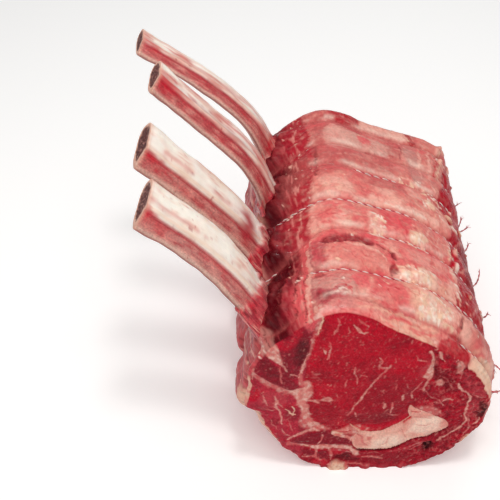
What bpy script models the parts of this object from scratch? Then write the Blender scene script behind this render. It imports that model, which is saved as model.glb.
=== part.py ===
"""Beef rib roast with four frenched rib bones, tied round with butcher's twine.

The roll of meat lies on its back edge, as a rack of ribs stands: its long axis runs along +Y, the cut face
looks along -Y, the ribs run down its left side (-X) and their bare ends rise and lean over to the left.

Everything is first laid out in section places: X from the rib side, Y from the foot of the cut face, Z from
the board. At the end the whole is moved so that its box is centred over the origin.
Units are metres.
"""

import math

import bmesh
import bpy
from mathutils import Matrix, Vector

# ---------------------------------------------------------------- driving sizes
ROAST_LENGTH = 0.268  # along Y, foot of the cut face to the back face
FACE_LEAN = math.radians(5.0)  # the cut face leans back
BACK_LEAN = math.radians(2.0)  # the back face leans forward
EDGE_ROUND = 0.003  # rounding of the rim of both end faces
REST_FLAT = 0.0004  # section points up to this height lie flat on the board
REST_CLEAR = 0.0006  # the least height of the others, so that the flat has straight sides
AROUND = 45  # points round the section
GAP = 0.0003  # between solids that touch

# Outline of the cut face, anticlockwise as the eye sees it, from the right end of the flat it rests on.
SECTION = (
    (0.126, 0.000),
    (0.158, 0.016),
    (0.181, 0.046),
    (0.187, 0.074),
    (0.179, 0.099),
    (0.160, 0.121),
    (0.136, 0.137),
    (0.106, 0.153),
    (0.084, 0.166),
    (0.065, 0.170),
    (0.045, 0.162),
    (0.023, 0.144),
    (0.008, 0.125),
    (0.003, 0.098),
    (0.005, 0.070),
    (0.014, 0.045),
    (0.032, 0.019),
    (0.058, 0.000),
)

# How the roll swells behind the cut face. Each swell: where on the section it's centred, how wide it is in X
# and Z, how far it stands out just behind the face and how far at the back.
SWELLS = (
    ((0.122, 0.150), (0.034, 0.030), 0.0115, 0.004),  # the top, over the eye
    ((0.164, 0.121), (0.036, 0.034), 0.008, 0.017),  # the right shoulder
    ((0.190, 0.060), (0.040, 0.045), 0.005, 0.004),  # the right side
    ((0.008, 0.055), (0.040, 0.015), 0.014, 0.009),  # the flap along the feet of the ribs
)
SWELL_FULL_BY = 0.034  # behind the cut face
BACK_RISE = 0.010  # of the top

# Ribs: flat bones whose width lies along Y. Each follows the rib side of the roll up from its sawn foot, then
# leaves it and curves away to its tip.
RIB_Y = (0.046, 0.106, 0.167, 0.226)
RIB_WIDTH = 0.037
RIB_THICKNESS = 0.0165
RIB_ON_ROLL = ((0.003, 0.060), (0.008, 0.082), (0.013, 0.104))
RIB_FREE = (
    ((0.011, 0.000, 0.128), (-0.003, 0.002, 0.160), (-0.031, 0.007, 0.197), (-0.077, 0.012, 0.236)),
    ((0.012, 0.000, 0.132), (-0.002, 0.001, 0.164), (-0.031, 0.002, 0.200), (-0.081, 0.004, 0.249)),
    (
        (0.016, 0.001, 0.144),
        (0.009, 0.002, 0.172),
        (-0.007, 0.004, 0.199),
        (-0.034, 0.007, 0.226),
        (-0.076, 0.011, 0.266),
    ),
    (
        (0.017, 0.002, 0.146),
        (0.009, 0.004, 0.175),
        (-0.009, 0.006, 0.201),
        (-0.044, 0.010, 0.230),
        (-0.094, 0.014, 0.262),
    ),
)
RIB_SIZE = (1.0, 1.0, 0.86, 0.78)
RIB_TWIST = tuple(math.radians(a) for a in (21, 18, 6, 2))  # of the free end, to face forwards
RIB_STATIONS = 15
RIB_SIDES = 12

# Ties: where each crosses the top of the roll, and where it passes between the ribs.
TIE_ON_TOP = (0.0255, 0.057, 0.102, 0.137, 0.180, 0.209, 0.243)
TIE_BETWEEN_RIBS = (0.0195, 0.0705, 0.0830, 0.1365, 0.1905, 0.2030, 0.2555)
TIE_TOP_Z = 0.150  # height at which the first of these holds
TWINE_RADIUS = 0.0009
GROOVE_DEPTH = 0.0031
GROOVE_HALF_WIDTH = 0.006
SHALLOW = 0.0007  # depth at the edges of a groove
BULGE = 0.0020  # height of the swell between two ties
TWINE_OVER_GROOVE = 0.0017  # twine's centre above the bottom of its groove
KNOT_POINT = 3  # the section point, counted as above, where each tie is knotted
TAIL_LENGTH = 0.012
TAIL_SPREAD = 0.0022

# Where the cut shows one muscle ending and the next beginning. Outlines run past the surface of the roll.
EYE_OUTLINE = (
    (0.053, 0.200),
    (0.052, 0.155),
    (0.047, 0.128),
    (0.043, 0.104),
    (0.049, 0.087),
    (0.046, 0.066),
    (0.054, 0.052),
    (0.082, 0.049),
    (0.109, 0.053),
    (0.125, 0.067),
    (0.136, 0.094),
    (0.136, 0.128),
    (0.150, 0.200),
)
SEAM_FAT_OUTLINE = (
    (0.080, 0.028),
    (0.091, 0.021),
    (0.116, 0.024),
    (0.142, 0.043),
    (0.158, 0.050),
    (0.147, 0.060),
    (0.131, 0.068),
    (0.112, 0.050),
    (0.086, 0.046),
)
RIB_SIDE_OUTLINE = (
    (-0.040, -0.020),
    (0.040, -0.020),
    (0.044, 0.020),
    (0.052, 0.048),
    (0.070, 0.060),
    (0.070, 0.220),
    (-0.040, 0.220),
)

MEAT_RED = (0.36, 0.030, 0.040)
DARK_MEAT = (0.24, 0.018, 0.025)
FAT_CREAM = (0.84, 0.62, 0.50)
BONE_IVORY = (0.86, 0.72, 0.60)
TWINE_WHITE = (0.82, 0.55, 0.50)


# ---------------------------------------------------------------- helpers
def clear_scene():
    """Removes every object that the scene starts with."""
    for obj in list(bpy.data.objects):
        bpy.data.objects.remove(obj, do_unlink=True)


def new_collection(name):
    collection = bpy.data.collections.new(name)
    bpy.context.scene.collection.children.link(collection)
    return collection


def new_material(name, colour, roughness):
    material = bpy.data.materials.new(name)
    material.use_nodes = True
    shader = material.node_tree.nodes["Principled BSDF"]
    shader.inputs["Base Color"].default_value = (*colour, 1.0)
    shader.inputs["Roughness"].default_value = roughness
    shader.inputs["Metallic"].default_value = 0.0
    return material


def smooth_step(low, high, value):
    """0 up to low, 1 from high on, and a smooth ramp between."""
    t = min(1.0, max(0.0, (value - low) / (high - low)))
    return t * t * (3.0 - 2.0 * t)


def spline_point(points, place, closed):
    """A point on the Catmull-Rom curve through points. place counts in points from the first."""
    count = len(points)
    index = math.floor(place)
    t = place - index

    def pick(i):
        return points[i % count] if closed else points[min(max(i, 0), count - 1)]

    a, b, c, d = (Vector(pick(index + k)) for k in (-1, 0, 1, 2))
    return 0.5 * (2 * b + (c - a) * t + (2 * a - 5 * b + 4 * c - d) * t**2 + (3 * b - a - 3 * c + d) * t**3)


def evenly_spaced(points, count, closed, fine=40):
    """count points at equal steps along the curve through points, which may be closed."""
    spans = len(points) if closed else len(points) - 1
    dense = [spline_point(points, spans * i / (fine * spans), closed) for i in range(fine * spans + 1)]
    run = [0.0]
    for before, after in zip(dense, dense[1:]):
        run.append(run[-1] + (after - before).length)
    steps = count if closed else count - 1
    found = []
    k = 0
    for i in range(count):
        want = run[-1] * i / steps
        while k < len(run) - 2 and run[k + 1] < want:
            k += 1
        share = (want - run[k]) / max(run[k + 1] - run[k], 1e-12)
        found.append(dense[k].lerp(dense[k + 1], share))
    return found


def loft(name, rings):
    """A closed mesh through rings of equal count, each capped by one face at the ends."""
    bm = bmesh.new()
    rows = [[bm.verts.new(p) for p in ring] for ring in rings]
    count = len(rows[0])
    for low, high in zip(rows, rows[1:]):
        for i in range(count):
            j = (i + 1) % count
            bm.faces.new((low[i], low[j], high[j], high[i]))
    bm.faces.new(rows[0])
    bm.faces.new(rows[-1])
    bmesh.ops.recalc_face_normals(bm, faces=bm.faces)
    mesh = bpy.data.meshes.new(name)
    bm.to_mesh(mesh)
    bm.free()
    return mesh


def add_object(name, data, collection, material=None, parent=None):
    obj = bpy.data.objects.new(name, data)
    collection.objects.link(obj)
    obj.parent = parent
    if material is not None:
        data.materials.append(material)
    return obj


def add_cutter(name, mesh, collection, parent):
    """A helper that Booleans use. It isn't part of the roast."""
    cutter = add_object(name, mesh, collection, parent=parent)
    cutter.hide_render = True
    cutter.display_type = "WIRE"
    return cutter


def add_boolean(obj, operation, cutter):
    modifier = obj.modifiers.new(f"{operation.lower()} {cutter.name}", "BOOLEAN")
    modifier.operation = operation
    modifier.solver = "EXACT"
    modifier.object = cutter


# ---------------------------------------------------------------- the roll of meat
class Section:
    """The roll's outline and how it changes along the roast."""

    def __init__(self):
        self.points = evenly_spaced(SECTION, AROUND, closed=True)
        self.normals = []
        for i, here in enumerate(self.points):
            along = self.points[(i + 1) % AROUND] - self.points[i - 1]
            self.normals.append(Vector((along.y, -along.x)).normalized())
        self.rests = [point.y < REST_FLAT for point in self.points]

    def rib_share(self, i):
        """1 where the surface faces the ribs, 0 on the top, right and underside."""
        x, z = self.points[i]
        return (1.0 - smooth_step(0.020, 0.062, x)) * smooth_step(0.000, 0.030, z)

    def grown(self, i, y):
        """A point of the section at y, with the roll's swell, before ties press into it."""
        x, z = self.points[i]
        behind = smooth_step(0.0, SWELL_FULL_BY, y - z * math.tan(FACE_LEAN))
        back = smooth_step(0.110, 0.250, y)
        swell = 0.0
        for (mid_x, mid_z), (wide, high), near, far in SWELLS:
            away = ((x - mid_x) / wide) ** 2 + ((z - mid_z) / high) ** 2
            swell += behind * (near + (far - near) * back) * math.exp(-away)
        rise = BACK_RISE * smooth_step(0.03, ROAST_LENGTH, y) * smooth_step(0.050, 0.170, z)
        nx, nz = self.normals[i]
        return Vector((x + nx * swell, max(0.0, z + nz * swell + rise)))

    def pressed(self, i, y, depth):
        """The point that lies depth under the swollen surface. What rests on the board is one flat."""
        if self.rests[i] and depth <= SHALLOW:
            return Vector((self.points[i].x, y, 0.0))
        here = self.grown(i, y)
        nx, nz = self.normals[i]
        return Vector((here.x - nx * depth, y, max(REST_CLEAR, here.y - nz * depth)))

    def face_y(self, i):
        return self.points[i].y * math.tan(FACE_LEAN)

    def back_y(self, i):
        return ROAST_LENGTH - self.points[i].y * math.tan(BACK_LEAN)

    def tie_y(self, tie, i):
        """Where a tie crosses section point i.

        It leans with the nearer end face, and leaves its straight round the roll to pass between ribs.
        """
        share = self.rib_share(i)
        along = tie / (len(TIE_ON_TOP) - 1)
        lean = math.tan(FACE_LEAN * (1.0 - along) - BACK_LEAN * along)
        straight = TIE_ON_TOP[tie] - lean * (TIE_TOP_Z - self.points[i].y)
        return straight * (1.0 - share) + TIE_BETWEEN_RIBS[tie] * share

    def between_ties(self, tie, i):
        """The point halfway to the next tie, where the roll swells, and more so the farther apart they are."""
        here, there = self.tie_y(tie, i), self.tie_y(tie + 1, i)
        room = there - here - 2 * GROOVE_HALF_WIDTH
        swell = smooth_step(0.0, 0.018, room)
        return self.pressed(i, (here + there) / 2, SHALLOW - (SHALLOW + BULGE) * swell)

    def inside_ends(self, i, y):
        """y, kept clear of the rounded rims of the end faces."""
        clear = EDGE_ROUND + 0.0015
        return min(max(y, self.face_y(i) + clear), self.back_y(i) - clear)


def meat_rings(section):
    """The rings of the roll: rounded rims, a groove under each tie and a swell between ties."""
    last = len(TIE_ON_TOP) - 1
    half = GROOVE_HALF_WIDTH

    def ring(place, depth):
        return [section.pressed(i, place(i), depth) for i in range(AROUND)]

    rings = [
        ring(section.face_y, EDGE_ROUND),
        ring(lambda i: section.face_y(i) + EDGE_ROUND, SHALLOW),
    ]
    for tie in range(last + 1):
        for side, depth in ((-1, SHALLOW), (0, GROOVE_DEPTH), (1, SHALLOW)):
            rings.append(ring(lambda i: section.inside_ends(i, section.tie_y(tie, i) + side * half), depth))
        if tie < last:
            rings.append([section.between_ties(tie, i) for i in range(AROUND)])
    rings += [
        ring(lambda i: section.back_y(i) - EDGE_ROUND, SHALLOW),
        ring(section.back_y, EDGE_ROUND),
    ]
    return rings


# ---------------------------------------------------------------- muscles and fat
def prism(name, outline, grow):
    """A closed prism along the whole roast from an outline in the section, moved outwards by grow."""
    points = [Vector(p) for p in outline]
    count = len(points)
    area = sum(points[i - 1].cross(points[i]) for i in range(count))
    turn = 1.0 if area > 0 else -1.0
    moved = []
    for i in range(count):
        before = (points[i] - points[i - 1]).normalized()
        after = (points[(i + 1) % count] - points[i]).normalized()
        out_before = Vector((before.y, -before.x)) * turn
        out_after = Vector((after.y, -after.x)) * turn
        middle = (out_before + out_after).normalized()
        moved.append(points[i] + middle * (grow / max(0.4, middle.dot(out_after))))
    margin = 0.05
    rings = [[(p.x, y, p.y) for p in moved] for y in (-margin, ROAST_LENGTH + margin)]
    return loft(name, rings)


# ---------------------------------------------------------------- ribs
def rib_stations(rib):
    """Centre, side direction and thickness direction of one rib at each station, foot to tip."""
    start = RIB_Y[rib]
    line = [(x, start, z) for x, z in RIB_ON_ROLL] + [(x, start + y, z) for x, y, z in RIB_FREE[rib]]
    places = evenly_spaced(line, RIB_STATIONS, closed=False)
    last = RIB_STATIONS - 1
    stations = []
    for k, here in enumerate(places):
        along = places[min(k + 1, last)] - places[max(k - 1, 0)]
        thick = along.cross(Vector((0.0, 1.0, 0.0))).normalized()
        wide = thick.cross(along).normalized()
        turn = Matrix.Rotation(-RIB_TWIST[rib] * smooth_step(0.25, 0.7, k / last), 3, along)
        stations.append((here, turn @ wide, turn @ thick))
    return stations


def rib_mesh(name, rib, grow=0.0):
    """A flat bone of rounded section along the rib's line. grow widens it all round, for its channel."""
    rings = []
    stations = rib_stations(rib)
    for k, (here, wide, thick) in enumerate(stations):
        size = 1.0 + (RIB_SIZE[rib] - 1.0) * smooth_step(0.3, 0.6, k / (RIB_STATIONS - 1))
        half_width = RIB_WIDTH / 2 * size + grow
        half_thick = RIB_THICKNESS / 2 * size + grow
        ring = []
        for s in range(RIB_SIDES):
            angle = 2 * math.pi * (s + 0.5) / RIB_SIDES
            c, n = math.cos(angle), math.sin(angle)
            across = half_width * math.copysign(abs(c) ** 0.75, c)
            through = half_thick * math.copysign(abs(n) ** 0.75, n)
            ring.append(here + wide * across + thick * through)
        rings.append(ring)
    if grow:
        foot = (stations[0][0] - stations[1][0]).normalized() * 0.001
        rings[0] = [p + foot for p in rings[0]]
    return loft(name, rings)


# ---------------------------------------------------------------- ties
def tie_path(section, tie):
    """One length of twine: out of its knot, once round the roll in its groove, and back past the knot."""
    start = round(KNOT_POINT / len(SECTION) * AROUND)
    depth = GROOVE_DEPTH - TWINE_OVER_GROOVE

    def on_roll(i, aside=0.0, lift=0.0):
        i %= AROUND
        y = section.tie_y(tie, i)
        point = section.pressed(i, y, depth - lift)
        return point + Vector((0.0, aside, 0.0))

    nx, nz = section.normals[start]
    out = Vector((nx, 0.0, nz))
    first = on_roll(start, -TAIL_SPREAD / 2, 0.0024)
    last = on_roll(start, TAIL_SPREAD / 2, 0.0024)
    head = first + out * TAIL_LENGTH + Vector((0.0, -0.004, 0.003))
    tail = last + out * TAIL_LENGTH + Vector((0.0, 0.005, -0.001))
    round_roll = [on_roll(start + k) for k in range(1, AROUND)]
    return [head, head.lerp(first, 0.55), first, *round_roll, last, tail.lerp(last, 0.55), tail]


def tie_curve(name, points):
    curve = bpy.data.curves.new(name, "CURVE")
    curve.dimensions = "3D"
    curve.bevel_depth = TWINE_RADIUS
    curve.bevel_resolution = 1
    curve.use_fill_caps = True
    spline = curve.splines.new("POLY")
    spline.points.add(len(points) - 1)
    for target, point in zip(spline.points, points):
        target.co = (*point, 1.0)
    return curve


# ---------------------------------------------------------------- the roast
def build():
    clear_scene()
    roast = new_collection("beef_rib_roast")
    cutters = new_collection("cutters")
    frame = add_object("roast_frame", None, roast)

    meat_red = new_material("lean", MEAT_RED, 0.45)
    dark_meat = new_material("dark lean", DARK_MEAT, 0.5)
    fat_cream = new_material("fat", FAT_CREAM, 0.5)
    bone_ivory = new_material("bone", BONE_IVORY, 0.45)
    twine_white = new_material("twine", TWINE_WHITE, 0.9)

    section = Section()
    rings = meat_rings(section)
    eye = add_cutter("eye cutter", prism("eye cutter", EYE_OUTLINE, 0.0), cutters, frame)
    seam = add_cutter("seam cutter", prism("seam cutter", SEAM_FAT_OUTLINE, 0.0), cutters, frame)
    side = add_cutter("side cutter", prism("side cutter", RIB_SIDE_OUTLINE, 0.0), cutters, frame)
    eye_room = add_cutter("eye room", prism("eye room", EYE_OUTLINE, GAP), cutters, frame)
    seam_room = add_cutter("seam room", prism("seam room", SEAM_FAT_OUTLINE, GAP), cutters, frame)
    side_room = add_cutter("side room", prism("side room", RIB_SIDE_OUTLINE, GAP), cutters, frame)

    muscles = {
        "eye_muscle": (meat_red, (("INTERSECT", eye),)),
        "seam_fat": (fat_cream, (("INTERSECT", seam),)),
        "rib_side_muscle": (dark_meat, (("INTERSECT", side), ("DIFFERENCE", eye_room))),
        "cap_muscle": (
            meat_red,
            (("DIFFERENCE", side_room), ("DIFFERENCE", eye_room), ("DIFFERENCE", seam_room)),
        ),
    }
    solids = {}
    for name, (material, cuts) in muscles.items():
        solids[name] = add_object(name, loft(name, rings), roast, material, frame)
        for operation, cutter in cuts:
            add_boolean(solids[name], operation, cutter)

    for rib in range(len(RIB_Y)):
        name = f"rib_{rib + 1}"
        bone = add_object(name, rib_mesh(name, rib), roast, bone_ivory, frame)
        bone.data.shade_smooth()
        channel = add_cutter(f"{name} channel", rib_mesh(f"{name} channel", rib, GAP), cutters, frame)
        add_boolean(solids["rib_side_muscle"], "DIFFERENCE", channel)

    for tie in range(len(TIE_ON_TOP)):
        name = f"tie_{tie + 1}"
        add_object(name, tie_curve(name, tie_path(section, tie)), roast, twine_white, frame)

    centre_on_origin(roast, frame)


def centre_on_origin(collection, frame):
    """Moves the whole so that the middle of its box's underside is the origin."""
    bpy.context.view_layer.update()
    graph = bpy.context.evaluated_depsgraph_get()
    low = Vector((math.inf,) * 3)
    high = Vector((-math.inf,) * 3)
    for obj in collection.objects:
        if obj.type == "EMPTY":
            continue
        shape = obj.evaluated_get(graph)
        mesh = shape.to_mesh()
        for vertex in mesh.vertices:
            place = shape.matrix_world @ vertex.co
            low = Vector(map(min, low, place))
            high = Vector(map(max, high, place))
        shape.to_mesh_clear()
    frame.matrix_world = Matrix.Translation((-(low.x + high.x) / 2, -(low.y + high.y) / 2, -low.z))
    bpy.context.view_layer.update()


build()
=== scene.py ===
import logging
import math
from dataclasses import dataclass
from enum import Enum
from typing import Optional, Sequence

import bmesh
import bpy
import numpy as np
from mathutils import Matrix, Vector
from mathutils.geometry import delaunay_2d_cdt

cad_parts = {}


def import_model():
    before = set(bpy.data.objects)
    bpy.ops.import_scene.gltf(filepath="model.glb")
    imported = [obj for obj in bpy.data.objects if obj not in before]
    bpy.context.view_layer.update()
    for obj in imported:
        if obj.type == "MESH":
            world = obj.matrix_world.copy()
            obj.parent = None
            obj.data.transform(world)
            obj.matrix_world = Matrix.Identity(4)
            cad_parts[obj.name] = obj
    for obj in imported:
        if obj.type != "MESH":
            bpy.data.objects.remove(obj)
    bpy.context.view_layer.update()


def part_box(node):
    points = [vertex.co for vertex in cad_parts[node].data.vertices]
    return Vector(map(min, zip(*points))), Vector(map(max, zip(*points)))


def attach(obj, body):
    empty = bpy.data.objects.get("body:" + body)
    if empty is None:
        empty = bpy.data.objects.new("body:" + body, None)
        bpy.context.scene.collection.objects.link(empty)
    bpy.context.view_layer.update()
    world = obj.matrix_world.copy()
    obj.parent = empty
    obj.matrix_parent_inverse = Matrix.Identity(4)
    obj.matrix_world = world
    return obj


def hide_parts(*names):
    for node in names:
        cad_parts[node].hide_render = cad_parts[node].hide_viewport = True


"""Raw beef rib roast, tied with striped butcher's twine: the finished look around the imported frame.

The roll of meat is laid out in section places, in millimetres: x from the rib side, y from the foot of the
cut face, z from the board. Layout turns them into the frame's metres. The outer surface also has two places
of its own: the way round the section from the ridge, clockwise as seen from the front (called aside), and y.
"""

log = logging.getLogger("rib_roast")
MM = 0.001
BODY = "root"

Array = np.ndarray
Socket = bpy.types.NodeSocket
Place = tuple[float, ...]
Line = Sequence[Place]
Looks = dict[str, Array]
End = tuple[Array, Array, Array]


# ---------------------------------------------------------------- colours
class Tone(Enum):
    """Colours of the meat, its fat and its bones in plain daylight, as 8-bit sRGB; a few of them also serve
    as painted light and shade.
    """

    EYE = (178, 6, 34)
    EYE_DARK = (132, 7, 28)
    EYE_BRIGHT = (202, 6, 38)
    CAP = (166, 6, 34)
    CAP_DARK = (120, 5, 24)
    CAP_PINK = (192, 62, 72)
    RIB_SIDE = (182, 30, 54)
    RIB_SIDE_DARK = (136, 14, 34)
    MAROON = (88, 2, 16)
    FRESH_RED = (198, 10, 40)
    # near-black: painted shade inside holes and painted shadow under the seam fat, also the pits of the
    # marrow
    SHADOW_AND_PIT_BLACK = (40, 2, 6)
    DRIED = (62, 12, 12)
    SEAM_PINK = (210, 108, 104)
    SEAM_PALE = (224, 150, 138)
    FAT = (236, 178, 160)
    FAT_BRIGHT = (248, 214, 196)
    FAT_PINK = (220, 130, 120)
    FAT_CREAM = (240, 196, 168)
    FAT_WHITE = (246, 224, 208)
    SKIN_SALMON = (222, 130, 120)
    SKIN_ROSE = (220, 84, 90)
    SKIN_BLUSH = (238, 176, 160)
    SKIN_GREY = (196, 134, 126)
    SKIN_BROWN = (180, 84, 82)
    PURPLE = (176, 58, 72)
    RIM_PINK = (244, 112, 112)
    # dark red, used mostly as painted shade in creases and recesses
    DARK_RED_AND_CREVICE_SHADE = (130, 34, 42)
    VALLEY = (172, 20, 42)
    # near-black red: painted shade in the valley beside the bones, also the darkest fibres
    VALLEY_SHADE_AND_DARK_FIBRE = (78, 1, 12)
    STRAND = (222, 88, 94)
    LEAN_SIDE = (172, 8, 32)
    BONE_CREAM = (252, 243, 232)
    BONE_WARM = (242, 214, 194)
    BONE_PINK = (218, 124, 116)
    BONE_BAND = (196, 106, 100)
    BONE_RED = (176, 34, 50)
    BONE_UNDER = (122, 30, 38)
    MARROW = (84, 30, 32)
    MARROW_LIGHT = (196, 138, 126)
    SAWN_RIM = (222, 164, 142)

    @property
    def linear(self) -> Array:
        """The colour as linear light."""
        share = np.array(self.value, float) / 255.0
        return np.where(share <= 0.04045, share / 12.92, ((share + 0.055) / 1.055) ** 2.4)


T = Tone


# ---------------------------------------------------------------- numbers and noise
def ramp(low: float, high: float, value: Array) -> Array:
    """0 up to low, 1 from high on, and a smooth rise between."""
    t = np.clip((value - low) / (high - low), 0.0, 1.0)
    return t * t * (3.0 - 2.0 * t)


def bell(value: Array, wide: float) -> Array:
    """1 at 0, falling smoothly on both sides over about wide."""
    return np.exp(-((value / wide) ** 2))


class Grain:
    """Seeded smooth noise, read at many places at once."""

    def __init__(self, seed: int) -> None:
        """Draws the slopes.

        Args:
            seed: which noise this is.
        """
        draw = np.random.default_rng(seed)
        self.order = np.tile(draw.permutation(256), 3)
        slopes = draw.normal(size=(256, 3))
        self.slopes = slopes / np.linalg.norm(slopes, axis=1)[:, None]

    def at(self, places: Array, size: float | Sequence[float]) -> Array:
        """Noise from about -1 to 1.

        Args:
            places: rows of x, y, z.
            size: the width of its lumps, one for all directions or one for each.

        Returns:
            One number a row.
        """
        scaled = places / np.asarray(size, float)
        cell = np.floor(scaled).astype(int)
        part = scaled - cell
        cell &= 255
        fade = part**3 * (part * (part * 6.0 - 15.0) + 10.0)
        total = np.zeros(len(places))
        for corner in ((i, j, k) for i in (0, 1) for j in (0, 1) for k in (0, 1)):
            here = cell + corner
            pick = self.order[self.order[self.order[here[:, 0]] + here[:, 1]] + here[:, 2]]
            weight = np.prod(np.where(corner, fade, 1.0 - fade), axis=1)
            total += weight * np.einsum("ij,ij->i", self.slopes[pick], part - corner)
        return total * 1.7

    def layered(self, places: Array, size: float | Sequence[float], layers: int = 3) -> Array:
        """Noise with finer noise on it, each layer half as wide and half as strong."""
        size = np.asarray(size, float)
        return sum(self.at(places + 31.7 * k, size / 2**k) / 2**k for k in range(layers))


def smooth_line(points: Line, closed: bool = False, step: float = 1.0) -> Array:
    """A smooth curve through points, as close places.

    Args:
        points: the places that it passes.
        closed: whether it returns to the first.
        step: about how far apart its places are.

    Returns:
        Rows of places; a closed curve's last is not its first again.
    """
    corners = np.array(points, float)
    count = len(corners)
    spans = count if closed else count - 1
    if closed:
        padded = np.vstack([corners[-1:], corners, corners[:2]])
    else:
        padded = np.vstack([2 * corners[:1] - corners[1:2], corners, 2 * corners[-1:] - corners[-2:-1]])
    t = (np.arange(24) / 24.0)[:, None]
    dense = []
    for k in range(spans):
        a, b, c, d = padded[k : k + 4]
        curve = 2 * b + (c - a) * t + (2 * a - 5 * b + 4 * c - d) * t**2 + (3 * b - a - 3 * c + d) * t**3
        dense.append(curve / 2)
    dense.append(padded[spans + 1 : spans + 2])
    dense = np.vstack(dense)
    run = np.concatenate([[0.0], np.cumsum(np.linalg.norm(np.diff(dense, axis=0), axis=1))])
    places = max(2, round(run[-1] / step)) + 1
    want = np.linspace(0.0, run[-1], places)
    line = np.stack([np.interp(want, run, dense[:, k]) for k in range(dense.shape[1])], axis=1)
    return line[:-1] if closed else line


def nearest_on(line: Array, places: Array) -> tuple[Array, Array]:
    """How far places lie from a line, and how far along it the nearest spot is, from 0 to 1.

    Args:
        line: its places in order.
        places: rows of places.

    Returns:
        The gap of each place, and its share of the way along.
    """
    best = np.full(len(places), 1e9)
    along = np.zeros(len(places))
    last = len(line) - 1
    for k in range(last):
        a, b = line[k], line[k + 1]
        way = b - a
        t = np.clip(((places - a) @ way) / max(way @ way, 1e-12), 0.0, 1.0)
        gap = np.linalg.norm(places - a - t[:, None] * way, axis=1)
        closer = gap < best
        best = np.where(closer, gap, best)
        along = np.where(closer, (k + t) / last, along)
    return best, along


def within(loop: Array, places: Array) -> Array:
    """Whether each place lies inside a closed loop.

    Args:
        loop: the loop's places in order.
        places: rows of places.

    Returns:
        True or false for each place.
    """
    inside = np.zeros(len(places), bool)
    x, z = places[:, 0], places[:, 1]
    for (x0, z0), (x1, z1) in zip(loop, np.roll(loop, -1, axis=0)):
        if z0 != z1:
            inside ^= ((z0 > z) != (z1 > z)) & (x < (x1 - x0) * (z - z0) / (z1 - z0) + x0)
    return inside


def looped(loop: Array) -> Array:
    """A loop with its first place again at its end."""
    return np.vstack([loop, loop[:1]])


def inset(loop: Array, places: Array) -> Array:
    """How far inside a closed loop each place lies, negative outside."""
    gap, _ = nearest_on(looped(loop), places)
    return np.where(within(loop, places), gap, -gap)


def spread(*columns: Array | float) -> Array:
    """Columns side by side, with one zero column after them."""
    return np.column_stack([*columns, np.zeros(len(columns[0]))])


# ---------------------------------------------------------------- what is painted on a surface
def spots(text: str) -> Array:
    """Rows of the places that a text gives as x,y pairs."""
    return np.array([pair.split(",") for pair in text.split()], float)


@dataclass(frozen=True)
class Patch:
    """A field of one colour with a soft, slightly wandering edge, given by x,y pairs round it."""

    points: str
    tone: Tone
    soft: float = 1.0
    strength: float = 1.0
    rise: float = 0.0
    fat: Optional[float] = None
    wet: Optional[float] = None


@dataclass(frozen=True)
class Streak:
    """A seam, a vein of fat or a fibre: a line of one colour that thins out at its ends."""

    points: str
    width: float
    tone: Tone
    strength: float = 0.9
    rise: float = 0.0
    blunt: bool = False
    fat: Optional[float] = 0.7
    wet: Optional[float] = None


Marks = tuple[Patch | Streak, ...]


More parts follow.
